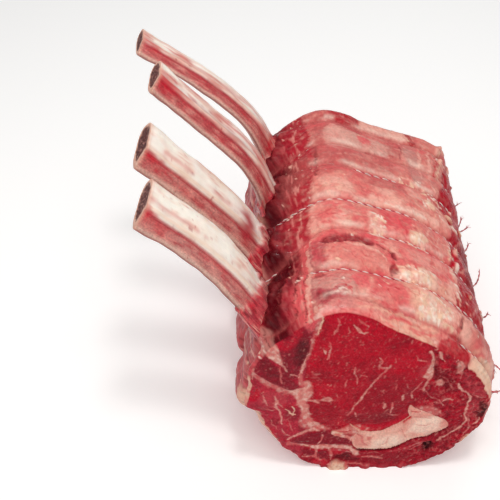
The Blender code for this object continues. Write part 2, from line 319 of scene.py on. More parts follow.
class Paint:
    """Colour, fattiness, wetness and relief at many places of a surface."""

    marbling_lean = 62.0  # degrees that the fine streaks of fat rise to the right

    def __init__(self, places: Array, tone: Tone, grain: Grain, wander: float = 0.7) -> None:
        """Starts with one colour all over.

        Args:
            places: rows of the two places that patches and streaks are given in.
            tone: the first colour.
            grain: noise that makes the edges wander.
            wander: how far they wander.
        """
        count = len(places)
        self.flat = places
        deep = spread(places)
        shifted = [deep + shift for shift in (11.0, 57.0)]
        drift = [grain.layered(rows, 6.0) + 0.5 * grain.at(rows, 1.9) for rows in shifted]
        self.places = places + wander * np.stack(drift, axis=1)
        self.uneven = np.clip(0.8 + 0.75 * grain.layered(deep + 91.0, 4.5, 2), 0.1, 1.5)
        self.colour = np.tile(tone.linear, (count, 1))
        self.fat = np.zeros(count)
        self.wet = np.full(count, 0.5)
        self.rise = np.zeros(count)
        self.fibre = deep
        self.stranded = np.zeros(count)
        self.sliced = np.zeros(count)

    def mix(self, near: Array, tone: Tone, share: Array) -> None:
        """Mixes a colour in at the places near, by a share for each."""
        self.colour[near] += (tone.linear - self.colour[near]) * share[:, None]

    def _put(self, near: Array, mask: Array, mark: Patch | Streak) -> None:
        """Lays one mark on the places near it, as strongly as mask says.

        Args:
            near: which places.
            mask: a share for each.
            mark: what to lay.
        """
        mask = mask * mark.strength
        self.mix(near, mark.tone, mask)
        for values, wanted in ((self.fat, mark.fat), (self.wet, mark.wet)):
            if wanted is not None:
                values[near] += (wanted - values[near]) * mask
        self.rise[near] += mark.rise * mask

    def _near(self, line: Array, margin: float) -> Array:
        """Which places lie in the box round a line."""
        low, high = line.min(axis=0) - margin, line.max(axis=0) + margin
        return np.nonzero(np.all((self.places > low) & (self.places < high), axis=1))[0]

    def lay(self, marks: Marks) -> None:
        """Lays patches and streaks, one over the other.

        Args:
            marks: what to lay, the lowest first.
        """
        for mark in marks:
            if isinstance(mark, Patch):
                loop = smooth_line(spots(mark.points), closed=True, step=1.6)
                near = self._near(loop, mark.soft * 2)
                signed = inset(loop, self.places[near])
                blotchy = np.clip(0.55 + 0.5 * self.uneven[near], 0.0, 1.0)
                self._put(near, ramp(-mark.soft, mark.soft, signed) * blotchy, mark)
            else:
                line = smooth_line(spots(mark.points), step=1.5)
                near = self._near(line, mark.width * 1.5)
                gap, along = nearest_on(line, self.places[near])
                half = mark.width / 2 * (0.45 + 0.55 * self.uneven[near])
                if not mark.blunt:
                    half = half * (0.35 + 0.65 * np.sin(np.pi * np.clip(along, 0.0, 1.0)) ** 0.5)
                self._put(near, 1.0 - ramp(0.0, 1.0, (gap - half * 0.5) / np.maximum(half, 0.2)), mark)

    def tint(self, tone: Tone, mask: Array) -> None:
        """Mixes a colour in all over, as strongly as mask says at each place."""
        self.colour += (tone.linear - self.colour) * np.clip(mask, 0.0, 1.0)[:, None]

    def marble(self, draw: np.random.Generator, allowed: Array, count: int, tones: Sequence[Tone]) -> None:
        """Scatters short fine streaks of fat between the fibres.

        Args:
            draw: the source of chance.
            allowed: which places may take them.
            count: how many.
            tones: their colours.
        """
        low, high = self.flat.min(axis=0), self.flat.max(axis=0)
        for _ in range(count):
            centre = low + draw.random(2) * (high - low)
            lean = math.radians(self.marbling_lean + 22.0 * draw.normal())
            reach = 0.6 + 1.9 * draw.random() ** 2
            half = 0.12 + 0.3 * draw.random()
            power = 0.1 + 0.45 * draw.random() ** 2
            tone = tones[int(draw.integers(len(tones)))]
            way = np.array([math.cos(lean), math.sin(lean)])
            offset = self.places - centre
            near = np.nonzero((np.abs(offset).max(axis=1) < reach + 2.0) & allowed)[0]
            if not len(near):
                continue
            run = offset[near] @ way
            side = offset[near] @ np.array([-way[1], way[0]])
            mask = bell(side, half + 0.25) * (1.0 - ramp(reach * 0.5, reach, np.abs(run)))
            self.mix(near, tone, mask * power)


# ---------------------------------------------------------------- where things are
@dataclass
class Layout:
    """Turns section places in millimetres into the frame's metres."""

    seam_left: float = 80.0  # the left end of the seam fat, as a section place

    def __post_init__(self) -> None:
        """Finds the roll in the frame, by the seam fat's left end and the foot of the cut face."""
        left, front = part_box("seam_fat")[0].x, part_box("cap_muscle")[0].y
        self.shift = np.array([left / MM - self.seam_left, front / MM, 0.0])

    def metres(self, places: Array) -> Array:
        """Section places as rows of metres in the frame."""
        return (np.asarray(places, float) + self.shift) * MM


@dataclass(frozen=True)
class Swell:
    """Where the roll stands out behind its cut face."""

    x: float
    z: float
    wide: float
    high: float
    near: float
    far: float


@dataclass
class RollShape:
    """The roll's outer surface: its outline, swells, twine grooves and lumps."""

    grain: Grain
    length: float = 268.0
    face_lean: float = 5.0  # degrees that the cut face leans back
    back_lean: float = 2.0
    middle: Place = (92.0, 80.0)
    outline_points: Line = (
        (126, 0), (158, 16), (181, 46), (187, 74), (179, 99), (160, 121), (136, 137), (106, 153), (84, 166),
        (65, 170), (45, 162), (23, 144), (8, 125), (3, 98), (5, 70), (14, 45), (32, 19), (58, 0),
    )  # fmt: skip
    ridge: Place = (65, 170)
    swells: tuple[Swell, ...] = (
        Swell(122, 150, 34, 30, 11.5, 4.0),
        Swell(164, 121, 36, 34, 8.0, 17.0),
        Swell(190, 60, 40, 45, 5.0, 4.0),
        Swell(8, 55, 40, 15, 14.0, 9.0),
    )
    tie_on_top: Place = (25.5, 57.0, 102.0, 137.0, 180.0, 209.0, 243.0)
    tie_between_ribs: Place = (19.5, 70.5, 83.0, 136.5, 190.5, 203.0, 255.5)
    tie_top_z: float = 150.0
    twine_depth: float = 0.95  # of its centre under the swollen surface
    groove: float = 1.4
    lobe: float = 3.4
    # where the fat has closed over a tie: tie, aside from and to
    closed_over: Line = (
        (0, -70, 101), (1, -60, -22), (2, -60, 30), (4, 64, 100), (4, -60, 22), (5, -80, 108), (6, -80, 96),
    )  # fmt: skip

    def __post_init__(self) -> None:
        """Measures the outline."""
        self.face_slope = math.tan(math.radians(self.face_lean))
        self.back_slope = math.tan(math.radians(self.back_lean))
        self.dense = smooth_line(self.outline_points, closed=True, step=0.15)
        steps = np.linalg.norm(np.roll(self.dense, -1, axis=0) - self.dense, axis=1)
        self.run = np.concatenate([[0.0], np.cumsum(steps)])
        self.round = self.run[-1]
        self.ridge_run = self.run_at(np.array([self.ridge], float))[0]

    def run_at(self, places: Array) -> Array:
        """How far round the outline, anticlockwise, the spot nearest each place is."""
        gaps = np.linalg.norm(places[:, None, :] - self.dense[None], axis=2)
        return self.run[np.argmin(gaps, axis=1)]

    def outline(self, run: Array) -> Array:
        """Outline places at distances round it."""
        run = np.mod(run, self.round)
        return np.stack([np.interp(run, self.run, values) for values in looped(self.dense).T], axis=1)

    def outward(self, run: Array) -> Array:
        """The direction out of the section at distances round it.

        Args:
            run: distances round the outline.

        Returns:
            Rows of x and z, one long.
        """
        way = self.outline(run + 3.0) - self.outline(run - 3.0)
        out = np.stack([way[:, 1], -way[:, 0]], axis=1)
        return out / np.linalg.norm(out, axis=1)[:, None]

    def aside(self, run: Array) -> Array:
        """Distance from the ridge, clockwise, negative on the rib side."""
        return np.mod(self.ridge_run - run + self.round * 0.4, self.round) - self.round * 0.4

    def face_y(self, z: Array) -> Array:
        """y of the cut face."""
        return z * self.face_slope

    def back_y(self, z: Array) -> Array:
        """y of the back face."""
        return self.length - z * self.back_slope

    def tie_y(self, tie: int, run: Array) -> Array:
        """Where a tie crosses, leaving its straight round the roll to pass between ribs.

        Args:
            tie: which tie, from 0 at the front.
            run: distances round the outline.

        Returns:
            y at each distance.
        """
        x, z = self.outline(run).T
        share = (1.0 - ramp(20.0, 62.0, x)) * ramp(0.0, 30.0, z)
        along = tie / (len(self.tie_on_top) - 1)
        lean = math.tan(math.radians(self.face_lean) * (1.0 - along) - math.radians(self.back_lean) * along)
        straight = self.tie_on_top[tie] - lean * (self.tie_top_z - z)
        return straight * (1.0 - share) + self.tie_between_ribs[tie] * share

    def swollen(self, run: Array, y: Array, lift: Array | float = 0.0) -> Array:
        """Places on the swollen surface, lifted off it, never under the board.

        Args:
            run: distances round the outline.
            y: places along the roll.
            lift: how far off the surface.

        Returns:
            Rows of x, y and z.
        """
        flat = self.outline(run)
        out = self.outward(run)
        x, z = flat.T
        behind = ramp(0.0, 34.0, y - z * self.face_slope)
        back = ramp(110.0, 250.0, y)
        swell = np.zeros(len(flat))
        for s in self.swells:
            away = ((x - s.x) / s.wide) ** 2 + ((z - s.z) / s.high) ** 2
            swell += behind * (s.near + (s.far - s.near) * back) * np.exp(-away)
        rise = 10.0 * ramp(30.0, self.length, y) * ramp(50.0, 170.0, z)
        grown = flat + out * (swell + lift)[:, None]
        return np.column_stack([grown[:, 0], y, np.maximum(0.0, grown[:, 1] + rise)])

    def relief(self, run: Array, y: Array) -> Array:
        """Height of the surface over the swollen one: grooves under ties, lobes between, lumps.

        Args:
            run: distances round the outline.
            y: places along the roll.

        Returns:
            One height for each.
        """
        aside = self.aside(run)
        nearest = np.full(len(y), 1e9)
        second = np.full(len(y), 1e9)
        cut = np.zeros(len(y))
        for tie in range(len(self.tie_on_top)):
            gap = np.abs(y - self.tie_y(tie, run))
            second = np.minimum(second, np.maximum(gap, nearest))
            nearest = np.minimum(nearest, gap)
            depth = self.groove + self.lobe
            hidden = np.zeros(len(y))
            for closed, low, high in self.closed_over:
                if closed == tie:
                    begins = ramp(low - 4.0, low + 4.0, aside)
                    hidden = np.maximum(hidden, begins * (1.0 - ramp(high - 4.0, high + 4.0, aside)))
            closed_up = 0.34 if tie else 0.72
            sharp = depth * (0.5 * np.exp(-gap / 1.8) + 0.5 * bell(gap, 6.5)) * (1.0 - closed_up * hidden)
            cut = np.maximum(cut, sharp)
        room = ramp(4.0, 20.0, nearest + second)
        places = self.swollen(run, y)
        lumps = 1.3 * self.grain.layered(places, 30.0, 2) + 0.55 * self.grain.layered(places + 90.0, 9.0, 2)
        folds = 0.5 * self.grain.layered(places + 200.0, (14.0, 5.0, 14.0), 2)
        uneven = (lumps + folds) * (0.35 + 0.65 * ramp(1.0, 7.0, nearest))
        return self.lobe * (0.35 + 0.65 * room) - cut + uneven


# ---------------------------------------------------------------- the cut face
P, S = Patch, Streak

RIB_SIDE_MARKS: Marks = (
    P("28,158 37,163 46,159 43,147 44,137 41,125 38,115 36,106 29,103 24,111 22,123 20,133 24,147",
      T.RIB_SIDE_DARK, 1.2, rise=0.8),
    P("35,146 42,144 44,136 41,125 37,117 33,122 32,134", T.MAROON, 3.2, 0.85, rise=-0.6),
    P("19,142 28,146 33,158 37,151 28,135 20,136", T.FRESH_RED, 2.0, 0.7),
    P("38,158 44,152 48,160 52,166 46,166 40,163", T.STRAND, 1.5, 0.9, rise=0.8, wet=0.8),
    P("10,131 17,139 21,132 23,123 24,117 19,121 13,126", T.SEAM_PALE, 1.0, rise=0.5, fat=1.0),
    P("2,127 9,130 14,123 22,115 27,107 35,101 38,95 31,92 22,96 14,103 6,110 3,119",
      T.RIB_SIDE_DARK, 0.9, rise=0.7),
    P("9,124 15,119 21,111 24,104 19,103 12,110 8,117", T.CAP_DARK, 2.0, 0.8),
    P("11,89 20,90 29,86 28,77 19,74 10,79", T.CAP_PINK, 2.5, 0.6, rise=0.5),
    P("25,62 32,57 39,62 36,71 29,73", T.RIB_SIDE_DARK, 2.0, 0.7),
    P("2,82 6,87 6,93 9,91 10,84 7,79", T.FRESH_RED, 0.9, 0.95, rise=-1.0, wet=0.9),
    S("3.5,124 4.5,114 4.5,102", 1.4, T.SEAM_PALE, 0.7),
    S("4,110 9,104 16,98 24,93 31,89 38,92", 5.5, T.SEAM_PINK, 0.85, -0.2),
    S("30,91 36,89 40,92 45,96", 3.4, T.SEAM_PALE, 0.8, -0.3),
    P("31,90 39,92 47,96 48,88 46,80 41,76 37,81 33,87", T.SEAM_PALE, 1.2, 0.9, -0.3, 1.0),
    S("44,97 43,86 42,76 43,66 45,58 50,53", 7.0, T.SEAM_PALE, 0.95, -0.3, True, 1.0),
    S("36,90 38,81 40.5,73", 2.0, T.SEAM_PALE, 0.8),
    S("45,141 44,133 42,125 39,115 38,107 39,99 42,95", 3.0, T.SEAM_PINK, 0.9, -0.5, True),
    S("42,128 39.5,118 38,110 37,104", 1.5, T.SEAM_PALE, 0.85),
    S("50,165 49,158 47,150 45,143", 3.6, T.SEAM_PINK, 0.9, -0.3, True),
    S("52,167 50.5,158 48.5,150", 1.7, T.FAT_CREAM, 0.8),
    S("24,119 28,112", 1.2, T.SEAM_PALE, 0.8),
    S("30,109.5 36,106.5", 1.4, T.SEAM_PALE, 0.8),
    S("22,116 24,107 26,99", 1.3, T.SEAM_PINK, 0.8, -0.4),
    P("41,62 47,58 53,53 60,49.5 65,47.5 57,46 46,47 40,50 38,56", T.SEAM_PINK, 1.6, 0.85, -0.2, 0.9),
    P("47,54 55,51 60,48.5 53,48 46,50", T.FAT_PINK, 1.4, 0.8, fat=1.0),
    P("31,32 37,37.5 45,41.5 54,44.5 62,45.5 68,41.5 76,38 82,34 85,30 78,28 66,28 52,28.5 42,29 35,30",
      T.RIB_SIDE_DARK, 0.8, rise=0.6),
    S("29,33 34,38.5 43,43.5 50,46 55.5,45", 3.2, T.SEAM_PALE, 0.85, -0.2),
    S("33,34 44,32 52,34", 1.1, T.MAROON, 0.5),
    S("54,29 57,34 58,41", 1.9, T.SEAM_PINK, 0.9),
    S("30,30 38,28 46,25.5 54,24.5", 4.4, T.SEAM_PINK, 0.75, -0.1, True),
    S("50,25 58,24.5 68,25.5 78,25 84,20 87,16", 5.0, T.SEAM_PALE, 0.95, 0.2, True, 1.0),
    S("40,27 46,25", 2.0, T.FAT_CREAM, 0.7),
    S("12,72 16,69 21,70", 1.3, T.SEAM_PINK, 0.8),
    S("20,86 24,77 22,69 23,60 24,53", 1.9, T.SEAM_PALE, 0.85),
    S("27.5,71 30.5,66 32.5,62.5", 1.5, T.FAT_CREAM, 0.85),
    S("34,74 33.5,67 32.5,63", 1.3, T.FAT_CREAM, 0.8),
    S("31,65 35,64", 1.6, T.FAT_CREAM, 0.9),
    S("12,87 15,80 18,75", 1.2, T.SEAM_PINK, 0.8),
    S("24,78 27,76 28,73", 1.4, T.SEAM_PALE, 0.6),
    S("24,47 26,42 31,38", 1.3, T.SEAM_PINK, 0.7),
    S("14,58 18,50 20,46", 1.2, T.SEAM_PINK, 0.6),
    S("30,58 31,50 34,44", 1.3, T.SEAM_PINK, 0.6),
    P("40,20 50,21 52,15 44,13.5", T.RIB_SIDE_DARK, 1.2, 0.9, 0.4),
    S("41,12 49,13.5 54,10.5", 2.0, T.SEAM_PINK, 0.8),
)

CAP_MARKS: Marks = (
    P("54.5,19 59,21.5 63,18 62.5,11 57,9.5 54,14", T.RIB_SIDE_DARK, 0.9, 1.0, 0.6),
    S("53,23 53,15 55,9 62,9", 2.2, T.SEAM_PINK, 0.8),
    S("66,9 66.5,15 64,22", 3.2, T.SEAM_PINK, 0.75),
    P("69,14 80,16.5 84,12 91,8 79,7 70,10", T.MAROON, 2.0, 0.85, -0.8),
    S("67,21 75,21 83,17", 3.4, T.CAP_PINK, 0.8),
    P("51,8 61,9 64,4 57,1 50,4", T.FRESH_RED, 1.6, 0.8, 0.5, wet=0.9),
    P("66,45 72,47 80,50.5 89,51 96,47 92,42 88,38 82,40 75,41 68,40", T.FAT_PINK, 1.3, 0.85, 0.2, 1.0),
    P("65.5,45 70,44 74,41.5 69,39.5 66,41", T.FAT_CREAM, 1.0, 0.9, 0.4, 1.0),
    S("70,44.5 76,44 81,45", 1.5, T.FRESH_RED, 0.85, -0.3, fat=0.2),
    S("79,52 86,47 90,40 91,33", 2.0, T.FAT_CREAM, 0.6, 0.2),
    P("88,47 92,48 94,43 90,41", T.FRESH_RED, 1.2, 0.8, -0.3),
    P("82,53 96,52 106,53 116,58 124,68 126,76 127,68 121,58 112,50 100,44.5 92,46 85,49",
      T.FRESH_RED, 1.3, 0.8, -0.4, wet=0.8),
    S("84,38 85,31 88,26", 4.2, T.FAT_PINK, 0.85, 0.1, True, 1.0),
    S("66,42 72,40 80,36.5 85,31", 3.0, T.FAT_PINK, 0.85, 0.2, True, 1.0),
    P("130,79 140,80 143,75 136,71 130,72.5", T.FRESH_RED, 1.8, 0.85, wet=0.9),
    P("128,71 134,73 142,73.5 148,69 153,63 145,63 138,67", T.SEAM_PINK, 1.5, 0.9, 0.1, 0.8),
    P("138,122 145,114 155,101 160,90 152,90 142,101 138,110", T.CAP_DARK, 3.0, 0.85, -0.7),
    P("136,139 150,147 158,137 150,131 140,133", T.FRESH_RED, 2.5, 0.6, 0.3, wet=0.8),
    P("164,112 170,105 180,96 184,86 175,86 166,97", T.CAP_PINK, 3.0, 0.6, 0.3),
    P("172,80 184,80 183,60 174,60", T.CAP_PINK, 3.5, 0.55),
    P("146,62 158,72 166,66 166,52 158,52", T.CAP, 3.0, 0.6, 0.3),
    P("100,20 120,20 136,12 118,4 98,8", T.CAP_DARK, 5.0, 0.45),
    P("150,46 160,52 170,44 160,34 148,36", T.CAP_DARK, 3.0, 0.5, -0.3),
    P("181,79 186,76 190,68 187,60 181,60 180,69", T.DRIED, 2.6, 0.95, -0.2, wet=0.3),
    S("141,133 143,128 146,122", 2.2, T.SEAM_PALE, 0.85),
    S("137,134 140,136 144,135", 2.0, T.SEAM_PALE, 0.7),
    S("153,125.5 155.5,128 158,125.5 155,122.5", 1.8, T.SEAM_PINK, 0.85),
    P("142,101 146,102 148,98 144,96.5", T.SEAM_PALE, 1.0, 0.9, fat=0.8),
    P("156,121 161,123 162,113 158,111", T.SEAM_PALE, 1.5, 0.8, fat=0.8),
    S("160,121 160.5,112 161,104", 1.6, T.SEAM_PINK, 0.6),
    S("150,80 154,81.5 158,80", 1.8, T.SEAM_PALE, 0.8),
    S("160,99 162,93 168,89 171,83 170.5,74 171,64 171.5,56 168,47.5 161,40 152,33",
      1.9, T.SEAM_PALE, 0.85, -0.3, True),
    S("171,49 164,42.5 156,37", 1.4, T.SEAM_PALE, 0.8),
    S("174,64 174,55 176,48 172,38", 1.3, T.SEAM_PINK, 0.8),
    S("178,53 181,55 184,59", 1.6, T.SEAM_PALE, 0.8),
    S("175,78 176,70 175,62", 1.2, T.SEAM_PINK, 0.5),
    S("172,87 178,84 184,83", 1.4, T.SEAM_PINK, 0.6),
    S("146,106 152,100 157,92", 1.2, T.SEAM_PINK, 0.4),
    S("134,92 139,84 147,80 150,74", 1.3, T.SEAM_PINK, 0.5),
    S("140,76 145,78 152,74", 1.2, T.SEAM_PINK, 0.6),
    S("112,20 122,21 132,26 141,31 147,31", 1.8, T.CAP_PINK, 0.6),
    S("130,20 136,25 140,29", 1.4, T.SEAM_PINK, 0.5),
    S("92,12 100,12.5 109,11", 2.8, T.SEAM_PINK, 0.85, 0.5),
    S("96,16 102,18 106,16", 1.4, T.SEAM_PINK, 0.4),
    S("64,3 72,5 80,4 90,2.5 98,3", 2.2, T.SEAM_PINK, 0.75, 0.4, True),
    # painted shade inside a hole in the cap
    P("141,29 145,30.5 149,29 149.5,22 145,18 142,21", T.SHADOW_AND_PIT_BLACK, 2.2, 1.0, -2.6, wet=0.2),
    P("65,-3 66.5,5 70,9 75,6 78,3 77,-3", T.FAT_CREAM, 1.5, 0.95, 3.2, 1.0),
    P("78,-3 78.5,2 80.5,2 81,-3", T.FAT_PINK, 1.1, 0.9, 2.6, 1.0),
    P("91.5,-3 93,3.5 98,4 98.5,-3", T.CAP_PINK, 1.3, 0.8, 3.0),
    P("106,-3 108,3 113,3.5 114,-3", T.CAP_PINK, 1.5, 0.5, 1.8),
    P("123,-3 124,4 128,5 130,-1", T.CAP_PINK, 1.5, 0.6, 2.4),
    P("171,31 177,32 180,41 174,38", T.FAT_CREAM, 1.2, 0.8, 0.6, 1.0),
)

EYE_MARKS: Marks = (
    # painted shade over the lower right of the eye
    P("96,98 112,108 130,98 136,80 124,64 104,60 88,64 84,80", T.EYE_DARK, 9.0, 0.5),
    # painted light over the top of the eye
    P("52,150 66,158 92,156 104,142 92,130 66,128", T.EYE_BRIGHT, 8.0, 0.45),
    # painted shadow along the eye's lower edge, above the seam fat
    P("76,63 94,66 112,65 117,59 104,53 88,54 77,57", T.EYE_DARK, 4.0, 0.8, -0.3),
    P("47,97 58,100 66,92 60,84 48,84", T.EYE_BRIGHT, 3.0, 0.45, 0.3),
    # painted light over the upper right of the eye
    P("104,134 124,134 134,122 128,104 110,106 103,120", T.EYE_BRIGHT, 7.0, 0.4),
    P("54,166 66,169 82,166 92,156 84,158 72,161 60,158", T.FRESH_RED, 2.5, 0.65, 0.2, wet=0.9),
    # painted shade over the lower left of the eye
    P("47,78 60,79 70,70 66,56 54,55 47,64", T.EYE_DARK, 5.0, 0.35),
    S("46,112 49,109 53,110", 2.4, T.SEAM_PINK, 0.35),
    S("46,104 51,106 55,103", 1.8, T.SEAM_PINK, 0.3),
    P("46,152 50,140 50,126 46,114 43,108 44,122 46,136", T.FRESH_RED, 1.5, 0.7, wet=0.8),
    P("131,106 133.5,104.5 137,101 138.5,110 137.5,120 136.5,127 135,118 133,111",
      T.SEAM_PALE, 0.8, 0.95, 0.2, 0.9),
    P("127,110 131,118 134,124 135,117 132,109 129,105", T.CAP_PINK, 1.5, 0.6),
    S("134,132 136.5,128 137.5,119 138,110 136.5,103 134.5,97 133,91", 2.0, T.SEAM_PALE, 0.85, -0.3, True),
    S("131,100 128,95 124.5,89 124,85 126,82", 1.6, T.SEAM_PINK, 0.7),
    S("130,92 133,91", 1.8, T.SEAM_PINK, 0.7),
    S("77,64 80,72 85,82 90,93 95,103 101,113 105,119", 1.7, T.SEAM_PINK, 0.85, -0.3, True),
    S("80,72 84,80 88,88 90,94", 1.3, T.SEAM_PALE, 0.7),
    S("96.5,127 99,122.5 96,118 99,116 103,117", 1.7, T.SEAM_PINK, 0.85),
    S("108,127 109,122", 1.3, T.SEAM_PINK, 0.6),
    S("58,143 59,135 58,127 57,125", 1.6, T.SEAM_PINK, 0.85),
    S("60,150 62.5,155 64,161 63,166", 1.5, T.SEAM_PINK, 0.8),
    S("54.5,134.5 55.5,131", 2.6, T.SEAM_PALE, 0.9),
    S("79,118 78.5,111 81,106 81,99", 1.3, T.SEAM_PINK, 0.75),
    S("83,109 88,107.5", 1.2, T.SEAM_PINK, 0.7),
    S("74,104 73,100 72.5,96", 1.4, T.SEAM_PINK, 0.85),
    P("55.5,80.8 60.5,85.5 64.5,81.5 60,80", T.SEAM_PALE, 0.8, 0.85, fat=0.8),
    S("46,79 52,80 58,81", 2.0, T.SEAM_PINK, 0.7),
    S("45,79 49,78.5 54,77.5", 2.4, T.SEAM_PALE, 0.75),
    S("75,160 79,155 83,152 86,153", 2.0, T.SEAM_PALE, 0.8),
    S("78,165 82,161 86,158", 1.6, T.SEAM_PINK, 0.6),
    S("71,158 72,153", 1.2, T.SEAM_PINK, 0.6),
    S("124,129 125.5,125 129,123.5 132,122.5", 1.4, T.SEAM_PINK, 0.8),
    S("117.5,88 118,80", 2.2, T.SEAM_PALE, 0.8),
    S("124,87 125,82", 1.6, T.SEAM_PALE, 0.7),
    S("104.5,78 104.5,72.5", 2.6, T.SEAM_PALE, 0.85),
    S("110,79 110.5,72 110,66", 1.9, T.SEAM_PINK, 0.9),
    S("106,67 111,64 117,62", 1.6, T.SEAM_PINK, 0.6),
    S("82,69 83.5,61", 1.5, T.SEAM_PINK, 0.8),
    S("112,98 111,93", 1.4, T.SEAM_PINK, 0.6),
    S("100,93 103,89", 1.2, T.SEAM_PINK, 0.5),
    S("119,100 121,94", 1.2, T.SEAM_PINK, 0.5),
    S("68,128 74,130", 1.0, T.SEAM_PINK, 0.4),
    S("66,90 68,84", 1.1, T.SEAM_PINK, 0.4),
)

FAT_MARKS: Marks = (
    P("98,28 104,38 116,41 124,37 121,29 110,25 100,24", T.FAT_BRIGHT, 3.0, 0.8, 0.6),
    P("126,50 134,60 146,62 153,56 150,48 140,44 130,45", T.FAT_BRIGHT, 3.0, 0.85, 0.5),
    P("121,56 125,62 124,73 128,70 140,66 146,62 136,61 128,60 124,54", T.FAT_PINK, 1.6, 0.55, 0.2),
    P("112,48 120,56 130,56 126,46 118,42", T.FAT_PINK, 3.0, 0.4),
    P("84,27 84,38 90,43 93,38 90,33 93,27", T.FAT_PINK, 2.6, 0.75),
    S("86,41 90,37 91,31 95,27", 2.0, T.SEAM_PINK, 0.8, -0.5),
    P("94,38 97.5,38 97,34 94,34", T.FRESH_RED, 1.0, 0.6),
    P("150,55 156,56 158,49 152,49", T.FAT_PINK, 2.0, 0.7),
    S("122,54.5 125,58 127.5,62", 1.8, T.FRESH_RED, 0.95, -1.0),
    S("126,68 130,67 134,67.5", 1.4, T.FRESH_RED, 0.7, -0.5),
    S("127,61 136,60.8 143,60", 1.4, T.FAT_PINK, 0.8, -0.4),
    S("131,53 138,52.5 144,54", 1.3, T.FAT_PINK, 0.6, -0.4),
    S("121,47 124,41 126,37", 1.4, T.FAT_PINK, 0.6, -0.4),
    S("104,27 110,31 111,38", 1.3, T.FAT_PINK, 0.6, -0.3),
    S("98,26 97,33 99,40", 1.2, T.FAT_PINK, 0.5, -0.3),
)

# Painted shadow along the lower edges of the seam fat, where it stands out of the cut.
SHADOW_UNDER_FAT_MARKS: Marks = (
    S("88,21 98,20.8 108,21.2 115,23.5 121,26", 3.4, T.SHADOW_AND_PIT_BLACK, 0.75, -1.3, True, 0.0),
    S("121,25.5 130,33.5 140,36.5 148,40.5 159,47.5", 2.2, T.CAP_DARK, 0.8, -1.0, True, 0.0),
)


class Region(Enum):
    """The four solids of the roll, each with the node that it stands for."""

    EYE = "eye_muscle"
    CAP = "cap_muscle"
    RIB_SIDE = "rib_side_muscle"
    FAT = "seam_fat"


@dataclass(frozen=True)
class MuscleSeams:
    """Where the cut shows one solid ending and the next beginning. Open ends lie on the outline."""

    eye_left: Line = (
        (51.5, 166.0), (50, 156), (46.5, 145), (45.5, 133), (43.5, 120), (41.5, 106), (43.5, 97), (48, 88),
        (46, 78), (45.5, 66), (48, 57), (54.5, 52),
    )  # fmt: skip
    eye_right: Line = (
        (54.5, 52), (66, 49.5), (82, 52), (98, 52), (109, 54.5), (116.5, 61), (121.5, 71), (128, 84),
        (135.5, 99), (138, 114), (137, 127), (135, 136.9),
    )  # fmt: skip
    divider: Line = ((54.5, 52), (49, 46), (44, 34), (42, 22), (40, 12.5))
    fat_loop: Line = (
        (84, 27), (90, 22.3), (104, 22.6), (113, 24), (121, 27), (130, 35), (140, 38), (148, 42),
        (158, 49), (155, 57), (146, 62), (139, 66), (129, 71), (125, 74), (124, 68), (125.5, 62),
        (121, 57), (112, 49.5), (104, 45), (96, 44), (88, 44), (83, 36),
    )  # fmt: skip


